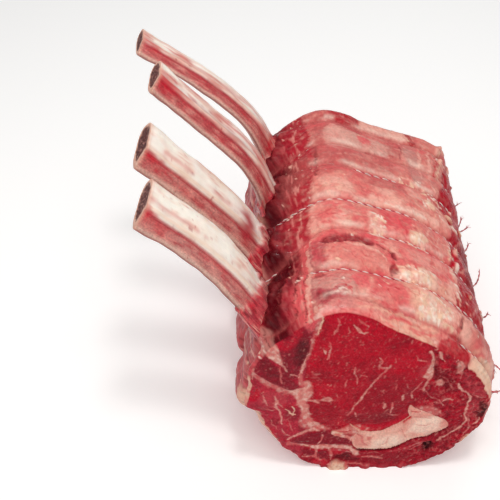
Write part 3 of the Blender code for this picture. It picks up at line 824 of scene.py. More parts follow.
@dataclass
class CutFace:
    """What a cut through the roll looks like: colour and relief from section places."""

    seed: int
    push: float  # how far the drawing is pushed about, 0 for the front face

    def __post_init__(self) -> None:
        """Starts the face's own noise."""
        self.grain = Grain(self.seed)

    def paint(self, places: Array, region: Array) -> Paint:
        """Paints the face.

        Args:
            places: section places of its vertices.
            region: the region of each, as an index into the list of regions.

        Returns:
            The paint at those places.
        """
        deep = spread(places)
        drift = [self.grain.at(deep + shift, 55.0) for shift in (5.0, 140.0)]
        drawn = places + self.push * np.stack(drift, axis=1)
        paint = Paint(drawn, T.CAP, self.grain, 1.6 if self.push else 0.55)
        is_eye, _, is_side, is_fat = (region == index for index in range(len(Region)))
        paint.tint(T.EYE, is_eye.astype(float))
        paint.tint(T.RIB_SIDE, is_side.astype(float))
        broad = self.grain.layered(deep + 70.0, 17.0)
        paint.tint(T.EYE_BRIGHT, 0.5 * ramp(0.1, 0.8, broad))
        paint.tint(T.EYE_DARK, 0.5 * ramp(0.1, 0.8, -broad))
        bundles = self.grain.layered(deep * [1.0, 0.62, 1.0] + 300.0, 2.6, 2)
        paint.tint(T.CAP_PINK, 0.28 * ramp(0.15, 0.9, bundles))
        paint.tint(T.CAP_DARK, 0.45 * ramp(0.15, 0.9, -bundles))
        paint.lay(RIB_SIDE_MARKS + CAP_MARKS + EYE_MARKS)
        draw = np.random.default_rng(self.seed)
        lean = ~is_fat & (paint.fat < 0.5)
        paint.marble(draw, lean, 2600, (T.SEAM_PINK, T.CAP_PINK, T.SEAM_PALE, T.MAROON))
        # painted shadow under the seam fat
        paint.lay(SHADOW_UNDER_FAT_MARKS)
        self._fat(paint, deep, is_fat)
        fine = self.grain.layered(deep + 500.0, 2.2, 2)
        coarse = self.grain.layered(deep + 600.0, 9.0, 2)
        uneven = np.where(is_fat, 0.3, 1.0)
        paint.rise += uneven * (0.16 * fine + 0.05 * self.grain.at(deep + 800.0, 0.9)) + 0.42 * coarse
        fatty = np.clip(paint.fat, 0.0, 1.0) * ~is_fat
        mottle = self.grain.layered(deep + 950.0, 3.4, 3)
        paint.tint(T.FAT_WHITE, 0.4 * fatty * ramp(0.05, 0.5, mottle))
        paint.tint(T.FRESH_RED, 0.4 * fatty * ramp(0.1, 0.55, -mottle))
        right = (~is_eye & ~is_fat & ~is_side) * ramp(116.0, 138.0, places[:, 0]) * (1.0 - fatty)
        flecks = self.grain.layered(deep * [1.0, 0.7, 1.0] + 1000.0, 3.0, 3)
        paint.tint(T.SEAM_PINK, 0.34 * right * ramp(0.3, 0.6, flecks))
        paint.tint(T.MAROON, 0.4 * right * ramp(0.2, 0.6, -flecks))
        paint.rise += 0.7 * right * flecks
        paint.wet = np.clip(paint.wet + 0.25 * coarse, 0.0, 1.0)
        paint.sliced[:] = 1.0
        return paint

    def _fat(self, paint: Paint, deep: Array, is_fat: Array) -> None:
        """Paints the wedge of seam fat over what the others left there.

        Args:
            paint: the face's paint.
            deep: section places with a third column.
            is_fat: which places are seam fat.
        """
        other = Paint(paint.flat, T.FAT, self.grain, 0.6)
        mottle = self.grain.layered(deep + 900.0, 7.0)
        other.tint(T.FAT_PINK, 0.45 * ramp(0.0, 0.9, mottle))
        other.tint(T.FAT_BRIGHT, 0.5 * ramp(0.0, 0.8, -mottle))
        other.lay(FAT_MARKS)
        paint.colour[is_fat] = other.colour[is_fat]
        paint.fat[is_fat] = 1.0
        paint.wet[is_fat] = 0.45
        paint.rise[is_fat] = other.rise[is_fat] + 0.25


# ---------------------------------------------------------------- the outer surface
SLANT = 0.72  # how far the fibres of the bare side lean forward for each millimetre along the roll

SKIN_MARKS: Marks = (
    # the valley between the bones and the roll
    P("-70,-5 -62,60 -60,150 -64,275 -30,275 -14,236 -10,200 -12,170 -18,110 -19,60 -22,20 -24,5",
      T.VALLEY, 2.2, 0.95, -0.4, 0.0, 0.8),
    # painted shadow deep in the valley beside the bones and between them, in these three patches
    P("-60,5 -58,90 -54,100 -42,92 -37,80 -39,55 -43,30 -46,8", T.VALLEY_SHADE_AND_DARK_FIBRE, 3.0, 0.85, -1.5, 0.0, 0.8),
    P("-42,84 -40,56 -30,50 -22,60 -20,80 -30,88", T.VALLEY_SHADE_AND_DARK_FIBRE, 5.0, 0.6, -0.8, 0.0, 0.8),
    P("-58,100 -58,190 -34,196 -26,178 -28,160 -44,150 -44,112", T.VALLEY_SHADE_AND_DARK_FIBRE, 5.0, 0.8, -1.0, 0.0, 0.8),
    P("-40,150 -38,196 -26,198 -14,196 -12,172 -22,160", T.SKIN_BROWN, 3.0, 0.7),
    P("-34,12 -34,34 -26,38 -20,30 -22,12", T.FRESH_RED, 2.5, 0.75, 0.4),
    # pink flesh at the valley's edge, its own colour made brighter to lift the shade there: partly painted
    # light
    P("-33,5 -33,40 -29,60 -27,90 -17,92 -18,60 -21,20 -22,5", T.RIM_PINK, 3.0, 0.75, 0.4),
    S("-37,8 -36,28 -33,50 -31,72", 4.0, T.STRAND, 0.5, 0.3),
    S("-29.5,6 -29,26 -26,48 -25,80", 3.4, T.SKIN_ROSE, 0.6, 0.3),
    S("-23,8 -23,28 -21.5,50 -20,86", 3.2, T.SKIN_BLUSH, 0.8, 0.45),
    S("-20,36 -19.5,52 -18,70 -18,92", 3.6, T.SKIN_BLUSH, 0.8, 0.4),
    S("-33,20 -32,42 -29,62", 1.4, T.VALLEY_SHADE_AND_DARK_FIBRE, 0.7, -0.3),
    S("-26,14 -25.5,40 -23,62", 1.3, T.MAROON, 0.7, -0.3),
    S("-40,12 -40,36 -37,60", 1.6, T.STRAND, 0.6, 0.4),
    S("-46,16 -45,36 -43,52", 1.5, T.SKIN_BROWN, 0.7, 0.4),
    S("-19,14 -19,30 -18.5,50 -18,88", 1.2, T.DARK_RED_AND_CREVICE_SHADE, 0.5, -0.5, True),
    S("-9.5,168 -8.5,185 -9,206", 3.6, T.MAROON, 0.8, -1.0, True),
    # in front of the second tie
    P("-18,52 -18,30 -15,16 -6,12 6,12 10,24 12,38 10,50 0,50", T.SKIN_GREY, 2.5, 0.75, 0.4, 0.3, 1.0),
    P("-18,40 -17,27 -10,22 -3,26 4,30 3,36 -8,36", T.PURPLE, 2.0, 0.9, 0.2, 0.2, 1.0),
    P("-16,34 -15,28 -8,27 -4,31 -8,34", T.DARK_RED_AND_CREVICE_SHADE, 1.4, 0.7, -0.4, 0.2, 1.0),
    S("-4,34 0,37.5 5,37 8.5,33 7,29", 1.5, T.FRESH_RED, 0.8, 0.8),
    # painted highlights on the wet purple lobe
    S("-2,32 2,34 6,33.5", 1.8, T.FAT_WHITE, 0.75, 0.8),
    S("1,29 5,31", 1.3, T.FAT_WHITE, 0.6, 0.6),
    P("-17,54 -15,50 -9,50 -8,54 -12,56", T.MAROON, 1.2, 0.8, -1.0),
    S("-18,14 -14,17.5 -9,18 -3,16", 4.4, T.FAT_WHITE, 0.75, 0.9, True, 1.0),
    S("0,16 10,17 22,17 34,16.5", 4.0, T.SKIN_BLUSH, 0.8, 0.5, True, 1.0),
    P("10,50 11,40 18,37 22,42 20,51", T.SKIN_ROSE, 1.8, 0.85, 0.1),
    P("24,46 24,30 44,30 60,34 62,44 44,50", T.SKIN_ROSE, 5.0, 0.6, 0.1),
    S("12,19 28,22 44,24 60,24.5", 2.6, T.FAT_CREAM, 0.75, 0.3),
    S("20,14 36,17 52,19 70,19", 2.2, T.FAT_CREAM, 0.7, 0.3),
    S("40,13 56,15.5 72,16", 2.6, T.FAT_WHITE, 0.6, 0.3),
    S("30,26 46,28 60,28", 1.0, T.FRESH_RED, 0.6, -0.2),
    S("36,20.5 52,22 66,22", 1.0, T.SKIN_ROSE, 0.7, -0.2),
    P("40,45 41,42 44,42 44,45", T.LEAN_SIDE, 0.8, 0.8, -0.3),
    P("48,58 52,40 58,30 72,26 84,30 88,44 84,56 66,59", T.FAT_CREAM, 4.0, 0.7, 0.2, 1.0),
    P("66,34 67,28 74,27 78,31 74,35", T.FAT_WHITE, 1.4, 0.85, 0.4, 1.0),
    P("66,44 70,36 76,38 76,48 70,50", T.FAT_WHITE, 1.8, 0.5, 0.3, 1.0),
    P("84,56 86,32 94,30 98,40 97,56", T.SKIN_BLUSH, 3.0, 0.7, 0.2, 1.0),
    S("98,29 100,38 101,50", 4.0, T.SKIN_BROWN, 0.85, -0.4, True),
    S("99.5,31 100.5,42", 2.0, T.MAROON, 0.7, -0.3),
    # between the second tie and the third
    P("-19,88 -17,60 -8,58 -5,72 -7,88", T.PURPLE, 2.5, 0.7, 0.2, 0.3, 0.9),
    P("-6,84 -4,62 12,61 30,63 38,70 35,79 22,84 8,84", T.SKIN_SALMON, 3.0, 0.8, 0.8),
    S("-2,83 10,83.4 22,82.5 32,79 37,72", 2.8, T.SKIN_BLUSH, 0.8, 0.5),
    # painted shade in the recess before the third tie, in these four marks
    P("-9,85 -8,92 6,94.5 20,94 29,91 27,86.5 10,86", T.DARK_RED_AND_CREVICE_SHADE, 1.0, 0.95, -1.7, 0.1),
    S("26,89.5 34,86 41,81 46,74", 2.6, T.DARK_RED_AND_CREVICE_SHADE, 0.75, -1.2, False, 0.1),
    P("41,82 43,83 47,77 46,73 42,76", T.DARK_RED_AND_CREVICE_SHADE, 0.9, 0.85, -0.6, 0.1),
    P("41,61 40,68 46,70 49,66 45,61", T.DARK_RED_AND_CREVICE_SHADE, 0.9, 0.8, -0.6, 0.1),
    P("50,70 52,66 57,66 57,70", T.SKIN_BROWN, 1.2, 0.6, -0.2),
    S("30,93 38,88 46,82 50,76", 3.0, T.SKIN_BLUSH, 0.6, 0.3),
    P("46,100 50,80 60,72 76,72 94,74 100,84 98,99 70,101", T.SKIN_ROSE, 5.0, 0.6, 0.2),
    P("54,90 60,78 76,76 90,79 94,90 76,95", T.SKIN_BLUSH, 4.0, 0.5, 0.2, 1.0),
    P("48,62 58,60 76,60 78,68 68,73 60,68", T.FAT_CREAM, 2.5, 0.85, 0.3, 1.0),
    P("94,76 92,62 102,60 104,74", T.SKIN_BLUSH, 2.5, 0.7, 0.1, 1.0),
    P("99,92 100,80 104,80 104,92", T.SKIN_BLUSH, 1.5, 0.7, 0.1, 1.0),
    # between the third and the fourth
    P("27,124 29,102 38,100 40,110 36,122", T.SKIN_BLUSH, 2.0, 0.85, 0.2, 1.0),
    P("38,135 40,106 56,105 66,112 62,134", T.SKIN_ROSE, 4.0, 0.85, 0.2),
    P("62,113 64,105 74,104.5 79,110 72,115", T.FAT_CREAM, 1.6, 0.9, 0.4, 1.0),
    S("66,107 70,110 75,112", 2.0, T.FAT_WHITE, 0.8, 0.4),
    P("70,133 76,112 92,106 100,112 98,132", T.SKIN_SALMON, 4.0, 0.7, 0.1, 1.0),
    S("76,113 80,119 84,126", 2.4, T.SKIN_BLUSH, 0.8, 0.2, fat=1.0),
    S("88,110 92,118 94,128", 2.0, T.SKIN_BLUSH, 0.7, 0.2, fat=1.0),
    S("103,104 104.5,112 105,122", 2.2, T.FAT_CREAM, 0.8, 0.3, fat=1.0),
    # between the fourth and the fifth
    S("36,145 56,142.5 76,143 94,144", 9.0, T.SKIN_BLUSH, 0.8, 0.3, True, 1.0),
    S("44,142 62,141 84,142", 3.0, T.FAT_WHITE, 0.5, 0.2),
    P("36,178 34,163 50,161 66,163 68,176 52,180", T.SKIN_BROWN, 3.5, 0.65),
    P("68,172 70,163 80,162 84,168 78,174", T.SKIN_BLUSH, 2.0, 0.7, 0.1, 0.9),
    P("88,165 90,158 95,157 97,162 94,168", T.FAT_CREAM, 1.2, 0.85, 0.5, 1.0),
    P("98,178 98,166 106,168 106,180", T.SKIN_BROWN, 2.0, 0.7),
    # behind the fifth
    P("-8,242 -8,170 6,168 20,184 22,206 4,204 4,240", T.SKIN_BROWN, 3.5, 0.7),
    P("26,208 28,184 50,185 62,188 62,208", T.SKIN_BROWN, 5.0, 0.5),
    S("62,184 72,186 84,184", 2.4, T.SKIN_BLUSH, 0.7, 0.2),
    P("77,208 78,188 88,188 90,208", T.SKIN_GREY, 2.5, 0.85, 0.0, 0.7),
    P("3,232 3,203 26,205 46,212 62,216 60,230 40,231 22,232", T.SKIN_BLUSH, 2.2, 0.8, 0.3, 0.9),
    P("3,232 3,203 26,205 46,212 62,216 60,230 40,231 22,232", T.SKIN_GREY, 2.2, 0.5),
    S("3,202.5 26,204.5 46,211.5 64,215", 1.6, T.SKIN_BROWN, 0.8, -0.7, True),
    P("30,227 33,218 41,219 42,227 36,229", T.SKIN_ROSE, 1.8, 0.8),
    P("8,244 8,233 24,231 34,233 34,243", T.SKIN_BROWN, 2.0, 0.85),
    P("60,242 60,216 70,214 74,240", T.SKIN_BROWN, 3.0, 0.55),
    S("71,214 72,224 72,234", 1.6, T.DARK_RED_AND_CREVICE_SHADE, 0.6, -0.3),
    P("75,240 76,214 86,212 87,238", T.SKIN_GREY, 2.5, 0.8, 0.0, 0.7),
    P("6,275 7,245 24,244 36,250 40,262 38,275", T.LEAN_SIDE, 2.0, 0.9, 0.0, 0.0),
    P("14,275 28,250 34,250 26,275", T.SKIN_BROWN, 1.8, 0.6, 0.2),
    P("38,264 36,248 46,244 58,248 58,260 48,264", T.SKIN_BLUSH, 2.0, 0.8, 0.4, 0.9),
    P("60,256 62,246 80,245 82,254 72,258", T.SKIN_BLUSH, 2.0, 0.8, 0.4, 0.9),
    S("54,262 64,262 74,262 82,256 88,246", 5.5, T.LEAN_SIDE, 0.9, -0.3, True, 0.1),
    P("93,264 93,242 108,240 112,254 106,266", T.SKIN_SALMON, 2.0, 0.85, 0.6, 0.9),
    # the bare lean down the right side, and the fat that is left on it
    P("103,178 101,168 112,150 106,126 105,108 103,92 104,74 101,60 106,48 116,40 136,42 158,50 176,90 "
      "178,170 172,225 150,240 122,238 113,222 112,206 108,196 104,190",
      T.LEAN_SIDE, 1.2, 1.0, -0.7, 0.0, 0.8),
    P("126,150 124,110 134,84 146,96 146,140 136,158", T.MAROON, 6.0, 0.45, -0.3, 0.0),
    P("106,116 106,104 112,96 118,104 113,116", T.FRESH_RED, 2.0, 0.7, 0.2, 0.0, 0.9),
    P("82,12 88,20 93,26 102,25 112,18 112,8 96,6", T.LEAN_SIDE, 1.3, 0.95, -0.5, 0.0, 0.9),
    P("102,42 106,28 118,20 136,26 150,34 152,14 136,6 120,8 112,22 102,32",
      T.SKIN_BLUSH, 2.5, 0.85, 0.5, 1.0),
    P("120,20 128,12 144,12 146,24 132,24", T.FAT_CREAM, 2.0, 0.8, 0.3, 1.0),
    P("114,42 120,30 136,34 146,44 130,46", T.SKIN_BROWN, 2.5, 0.6),
    S("110,62 114,50 122,56", 1.4, T.FAT_CREAM, 0.7, 0.2),
    S("117,56 125,68 134,82", 1.6, T.SEAM_PALE, 0.8, 0.3),
    S("121,60 130,74 137,88", 1.2, T.SEAM_PINK, 0.7, 0.3),
    S("108,96 120,108 130,118 138,128", 1.6, T.SEAM_PALE, 0.8, 0.3),
    S("104,104 116,116 126,128 134,140", 1.2, T.SEAM_PINK, 0.7, 0.3),
    S("118,136 127,148 136,158", 2.0, T.SEAM_PALE, 0.8, 0.3),
    S("112,150 116,160 122,172", 1.3, T.SEAM_PINK, 0.7, 0.2),
    S("88,196 89,216 90,238", 3.0, T.SKIN_BLUSH, 0.7, 0.3, fat=1.0),
    S("96,196 98,216 98,244", 3.4, T.SKIN_BLUSH, 0.75, 0.3, fat=1.0),
    S("102,206 104,226 106,244", 1.6, T.FRESH_RED, 0.8, -0.2),
    S("106,202 107,222 110,244", 1.8, T.FAT_CREAM, 0.85, 0.4, fat=1.0),
    S("110,214 112,228 114,242", 1.3, T.SEAM_PALE, 0.8, 0.3),
)

UNSEEN_SKIN_MARKS: Marks = (
    # lower right side and underside, with the scraps of fat that trimming leaves
    P("180,40 184,10 206,8 214,40 204,70 188,66", T.FAT_CREAM, 3.0, 0.85, 0.6, 1.0),
    P("176,160 186,130 206,128 214,160 204,190 184,186", T.FAT_PINK, 4.0, 0.8, 0.5, 1.0),
    P("190,250 196,216 220,210 232,240 220,262", T.FAT_CREAM, 3.5, 0.8, 0.5, 1.0),
    P("226,120 230,70 256,66 266,104 254,134", T.SKIN_BLUSH, 5.0, 0.8, 0.2, 1.0),
    P("240,220 246,170 276,168 282,206 264,232", T.FAT_PINK, 5.0, 0.7, 0.2, 1.0),
    S("188,10 190,60 186,110 190,170 186,230", 2.0, T.SEAM_PALE, 0.7, 0.3),
    S("236,20 240,80 236,140 242,200 238,255", 1.8, T.SEAM_PALE, 0.6, 0.2),
    # the rib side
    P("-96,12 -82,16 -76,60 -74,140 -76,210 -82,270 -122,272 -126,200 -120,120 -124,60 -120,14",
      T.SKIN_BROWN, 5.0, 0.5, 0.3, 0.4),
    S("-88,14 -92,60 -86,120 -90,190 -88,262", 7.0, T.SKIN_BLUSH, 0.65, 0.5),
    S("-104,30 -108,90 -102,150 -108,230", 5.0, T.SKIN_BLUSH, 0.55, 0.4),
    S("-118,12 -114,70 -118,140 -112,210", 2.4, T.SEAM_PALE, 0.6, 0.3),
    P("-60,3 -57,14 -60,26 -68,30 -73,20 -70,6", T.SEAM_PALE, 1.8, 0.85, 1.0, 0.8),
    S("-62,6 -64,16 -63,27", 1.2, T.MAROON, 0.6, -0.6),
    S("-68,6 -69,16 -68,26", 1.4, T.FAT_WHITE, 0.7, 0.4),
    P("-136,-5 -130,30 -150,34 -170,22 -168,-5", T.FAT_CREAM, 3.0, 0.8, 0.4, 1.0),
    P("-100,20 -98,-5 -120,-5 -124,16 -112,24", T.FAT_CREAM, 2.5, 0.8, 0.6, 1.0),
    S("-140,40 -146,90 -140,150 -148,210 -142,262", 2.4, T.SEAM_PALE, 0.7, 0.3),
)


@dataclass
class OuterSkin:
    """The trimmed outside of the roll: fat cover, membrane, bare lean and scraps."""

    shape: RollShape
    grain: Grain
    crumb_fields: tuple[tuple[Place, Place, int, float, float], ...] = (
        # low corner, high corner, how many, how wide, how high
        ((60, 99), (80, 113), 60, 1.7, 0.4),
        ((46, 57), (80, 72), 90, 1.8, 0.45),
        ((60, 26), (92, 50), 110, 2.0, 0.45),
        ((28, 98), (40, 124), 50, 1.5, 0.3),
        ((84, 150), (104, 176), 50, 1.6, 0.45),
        ((98, 56), (106, 130), 60, 1.4, 0.5),
        ((60, 178), (100, 188), 40, 1.4, 0.4),
        ((-20, 0), (250, 268), 120, 1.1, 0.4),
        ((-130, 10), (-70, 262), 60, 1.8, 0.4),
        ((180, 6), (250, 262), 160, 2.0, 0.5),
        ((108, 14), (176, 262), 26, 3.4, 2.2),
        ((104, 226), (116, 262), 8, 3.6, 2.6),
        ((-40, 20), (-20, 260), 40, 1.6, 0.6),
    )

    def paint(self, run: Array, y: Array, solid: Array) -> Paint:
        """Paints the skin.

        Args:
            run: distance round the outline of each vertex.
            y: its place along the roll.
            solid: its place in the section and along the roll.

        Returns:
            The paint at those vertices.
        """
        aside = self.shape.aside(run)
        along_face = y - self.shape.face_y(solid[:, 2])
        flat = np.column_stack([aside, y])
        paint = Paint(flat, T.SKIN_SALMON, self.grain, 1.6)
        broad = self.grain.layered(solid, 26.0)
        patchy = self.grain.layered(solid + 120.0, 11.0)
        paint.tint(T.SKIN_ROSE, 0.6 * ramp(-0.1, 0.7, broad))
        paint.tint(T.SKIN_BLUSH, 0.7 * ramp(0.0, 0.7, -broad))
        paint.tint(T.FAT_CREAM, 0.45 * ramp(0.1, 0.7, patchy) * (1.0 - ramp(120.0, 200.0, y)))
        paint.tint(T.SKIN_BROWN, 0.4 * ramp(0.1, 0.8, -patchy) * ramp(140.0, 200.0, y))
        paint.tint(T.SKIN_GREY, 0.55 * ramp(0.0, 0.7, patchy) * ramp(150.0, 215.0, y))
        # painted shade: the skin darker towards the back
        paint.tint(T.SKIN_BROWN, 0.26 * ramp(135.0, 215.0, y) + 0.3 * ramp(228.0, 262.0, y))
        blotch = self.grain.layered(solid + 410.0, (19.0, 12.0, 19.0), 3)
        calm = 1.0 - 0.6 * ramp(110.0, 170.0, y)
        paint.tint(T.SKIN_ROSE, 0.6 * ramp(0.18, 0.5, blotch) * calm)
        paint.tint(T.SKIN_BLUSH, 0.6 * ramp(0.15, 0.5, -blotch) * calm)
        lower = ramp(150.0, 190.0, aside)
        paint.tint(T.LEAN_SIDE, 0.85 * lower)
        paint.fat[:] = 0.7 - 0.7 * lower
        paint.wet[:] = 0.55
        paint.tint(T.RIB_SIDE, 0.8 * (1.0 - ramp(-74.0, -60.0, aside)))
        paint.lay(SKIN_MARKS + UNSEEN_SKIN_MARKS)
        self._rim(paint, aside, along_face)
        self._fibres(paint, aside, y, solid)
        # painted shade deep in the valley beside the bones
        deep = bell(aside + 50.0, 14.5)
        paint.tint(T.VALLEY_SHADE_AND_DARK_FIBRE, deep * (0.62 + 0.3 * ramp(-0.3, 0.5, patchy)))
        # painted shade and highlight along the ties
        self._tie_shade_and_highlight(paint, run, y)
        self._crumbs(paint)
        wandering = paint.places[:, 0]
        lengthwise = spread(aside, y * 0.2)
        slanting = spread(aside - y * SLANT, (y + aside * SLANT) * 0.2)
        paint.fibre = np.where(aside[:, None] < 40.0, lengthwise, slanting)
        paint.stranded = 0.6 * (1.0 - ramp(-24.0, -16.0, wandering) + ramp(100.0, 108.0, wandering))
        return paint

    def _crumbs(self, paint: Paint) -> None:
        """Small broken bits of hard fat, thickest beside the front ties.

        Args:
            paint: the skin's paint.
        """
        draw = np.random.default_rng(77)
        for low, high, count, size, stand in self.crumb_fields:
            for _ in range(count):
                centre = low + draw.random(2) * np.subtract(high, low)
                radius = size * (0.35 + 0.9 * draw.random() ** 2)
                squash = 0.6 + 0.8 * draw.random()
                tone = (T.FAT_CREAM, T.FAT_WHITE, T.SKIN_BLUSH)[int(draw.integers(3))]
                offset = paint.places - centre
                near = np.nonzero(np.abs(offset).max(axis=1) < radius * 2.5)[0]
                gap = np.hypot(offset[near, 0] * squash, offset[near, 1] / squash)
                mask = 0.85 * (1.0 - ramp(radius * 0.6, radius * 1.25, gap))
                paint.mix(near, tone, mask)
                paint.rise[near] += stand * mask
                paint.fat[near] = np.maximum(paint.fat[near], mask)

    def _rim(self, paint: Paint, aside: Array, behind: Array) -> None:
        """The pale edge of the fat cover just behind the cut face.

        Args:
            paint: the skin's paint.
            aside: the way round from the ridge.
            behind: the distance behind the face.
        """
        top = ramp(14.0, 44.0, aside) * (1.0 - ramp(74.0, 84.0, aside))
        right = ramp(112.0, 120.0, aside) * (1.0 - ramp(150.0, 165.0, aside))
        stretched = spread(aside, behind)
        uneven = 4.0 * self.grain.layered(stretched, (16.0, 5.0, 1.0), 3)
        streaks = self.grain.layered(stretched + 33.0, (21.0, 2.6, 1.0), 3)
        deep = 4.0 + 12.0 * ramp(20.0, 78.0, aside)
        edge = 1.0 - ramp(0.35, 1.0, (behind + uneven) / deep)
        paint.tint(T.FAT_CREAM, 0.9 * edge * (top + 0.8 * right))
        paint.tint(T.FAT_WHITE, 0.7 * edge * (top + 0.5 * right) * ramp(0.05, 0.5, streaks))
        paint.tint(T.SKIN_ROSE, 0.75 * edge * top * ramp(0.1, 0.45, -streaks))
        blush = ramp(-22.0, -10.0, aside) * (1.0 - ramp(30.0, 62.0, aside))
        blush = (1.0 - ramp(0.5, 5.0, behind + 0.7 * uneven)) * blush
        paint.tint(T.RIM_PINK, 0.6 * blush)
        paint.tint(T.FRESH_RED, 0.3 * blush * ramp(0.1, 0.5, streaks))
        paint.fat = np.maximum(paint.fat, edge * np.clip(top + right, 0.0, 1.0))

    def _fibres(self, paint: Paint, aside: Array, y: Array, solid: Array) -> None:
        """Fine pale and dark fibres: lengthwise in the valley, slanting on the bare side, mixed on the fat.

        Args:
            paint: the skin's paint.
            aside: the way round from the ridge.
            y: places along the roll.
            solid: rows of x, y and z.
        """
        valley = 1.0 - ramp(-26.0, -18.0, aside)
        side = ramp(100.0, 108.0, aside)
        lengthwise = self.grain.layered(spread(aside, y), (3.2, 15.0, 1.0), 3)
        slanting = self.grain.layered(spread(aside - y * SLANT, y + aside * SLANT), (2.6, 26.0, 1.0), 3)
        crosswise = self.grain.layered(solid + 40.0, (9.0, 3.0, 9.0), 3)
        covered = np.clip(1.0 - valley - side, 0.0, 1.0)
        pattern = lengthwise * valley + slanting * side + crosswise * covered * 0.8
        bare = np.clip(valley + side, 0.0, 1.0)
        # paler, less dark fibres at the valley's edge by the fat, lifting the shade there: partly painted
        # light
        near_fat = valley * bell(aside + 22.0, 11.0)
        paint.tint(T.STRAND, (0.12 + 0.46 * valley) * ramp(0.15, 0.7, pattern) * bare)
        paint.tint(T.SKIN_BLUSH, 0.55 * near_fat * ramp(0.1, 0.5, pattern))
        paint.tint(T.VALLEY_SHADE_AND_DARK_FIBRE, (0.25 + 0.2 * valley - 0.36 * near_fat) * ramp(0.15, 0.8, -pattern) * bare)
        paint.tint(T.FAT_WHITE, 0.2 * ramp(0.1, 0.9, pattern) * (1.0 - bare))
        paint.tint(T.SKIN_ROSE, 0.2 * ramp(0.1, 0.9, -pattern) * (1.0 - bare))
        specks = self.grain.layered(solid + 340.0, 3.4, 2)
        paint.tint(T.FAT_CREAM, 0.16 * ramp(0.4, 0.8, specks) * (1.0 - bare))
        paint.tint(T.SKIN_BROWN, 0.12 * ramp(0.45, 0.85, -specks) * (1.0 - bare))
        calm = 1.0 - 0.6 * ramp(110.0, 170.0, y)
        for size, reach, power in ((19.0, 0.08, 0.42), (11.0, 0.1, 0.22)):
            veins = np.abs(self.grain.layered(solid + 260.0 + size, size, 2))
            paint.tint(T.FRESH_RED, power * (1.0 - ramp(0.0, reach, veins)) * (1.0 - bare) * calm)
        paint.rise += 0.2 * pattern * (0.2 + bare) + 0.07 * specks

    def _tie_shade_and_highlight(self, paint: Paint, run: Array, y: Array) -> None:
        """Painted light and shade at the ties: a painted shade in each groove, a darker rosy painted shade
        before it, and a paler painted highlight just behind it.

        Args:
            paint: the skin's paint.
            run: distances round the outline.
            y: places along the roll.
        """
        aside = paint.places[:, 0]
        cover = ramp(-20.0, -10.0, aside) * (1.0 - ramp(94.0, 104.0, aside))
        uneven = ramp(-0.35, 0.6, self.grain.layered(spread(aside, y), 19.0))
        for tie in range(len(self.shape.tie_on_top)):
            behind = y - self.shape.tie_y(tie, run)
            # painted shade in the groove, painted highlight behind the tie, painted shade before it
            paint.tint(T.SKIN_BROWN, 0.45 * bell(behind, 1.8))
            paint.tint(T.FAT_WHITE, 0.5 * bell(behind - 4.2, 2.4) * cover * uneven)
            paint.tint(T.SKIN_ROSE, 0.3 * bell(behind + 6.5, 5.0) * cover)


# ---------------------------------------------------------------- meshes and materials
def feed(node: bpy.types.Node, *values: object, **named: object) -> bpy.types.Node:
    """Sets a node's inputs, or joins sockets to them.

    Args:
        node: the node.
        values: numbers or sockets for its inputs in order; None leaves one alone.
        named: the same by name, with underscores for spaces.

    Returns:
        The node.
    """
    wanted = dict(enumerate(values)) | {name.replace("_", " "): value for name, value in named.items()}
    for key, value in wanted.items():
        if isinstance(value, Socket):
            node.id_data.links.new(value, node.inputs[key])
        elif value is not None:
            node.inputs[key].default_value = value
    return node


class NodeSheet:
    """A node tree with short ways to add to it."""

    def __init__(self, tree: bpy.types.NodeTree) -> None:
        """Keeps the tree."""
        self.tree = tree

    def add(self, kind: str, **settings: object) -> bpy.types.Node:
        """Adds a node and sets its properties.

        Args:
            kind: the node's type.
            settings: its properties.

        Returns:
            The node.
        """
        node = self.tree.nodes.new(kind)
        for name, value in settings.items():
            setattr(node, name, value)
        return node

    def maths(self, operation: str, *values: object, clamp: bool = False) -> Socket:
        """One sum on sockets or numbers."""
        return feed(self.add("ShaderNodeMath", operation=operation, use_clamp=clamp), *values).outputs[0]

    def times(self, *values: object) -> Socket:
        """One number times another."""
        return self.maths("MULTIPLY", *values)

    def scaled(self, vector: Socket, factor: Socket) -> Socket:
        """A vector or a colour times a factor."""
        node = self.add("ShaderNodeVectorMath", operation="SCALE")
        return feed(node, vector, Scale=factor).outputs["Vector"]


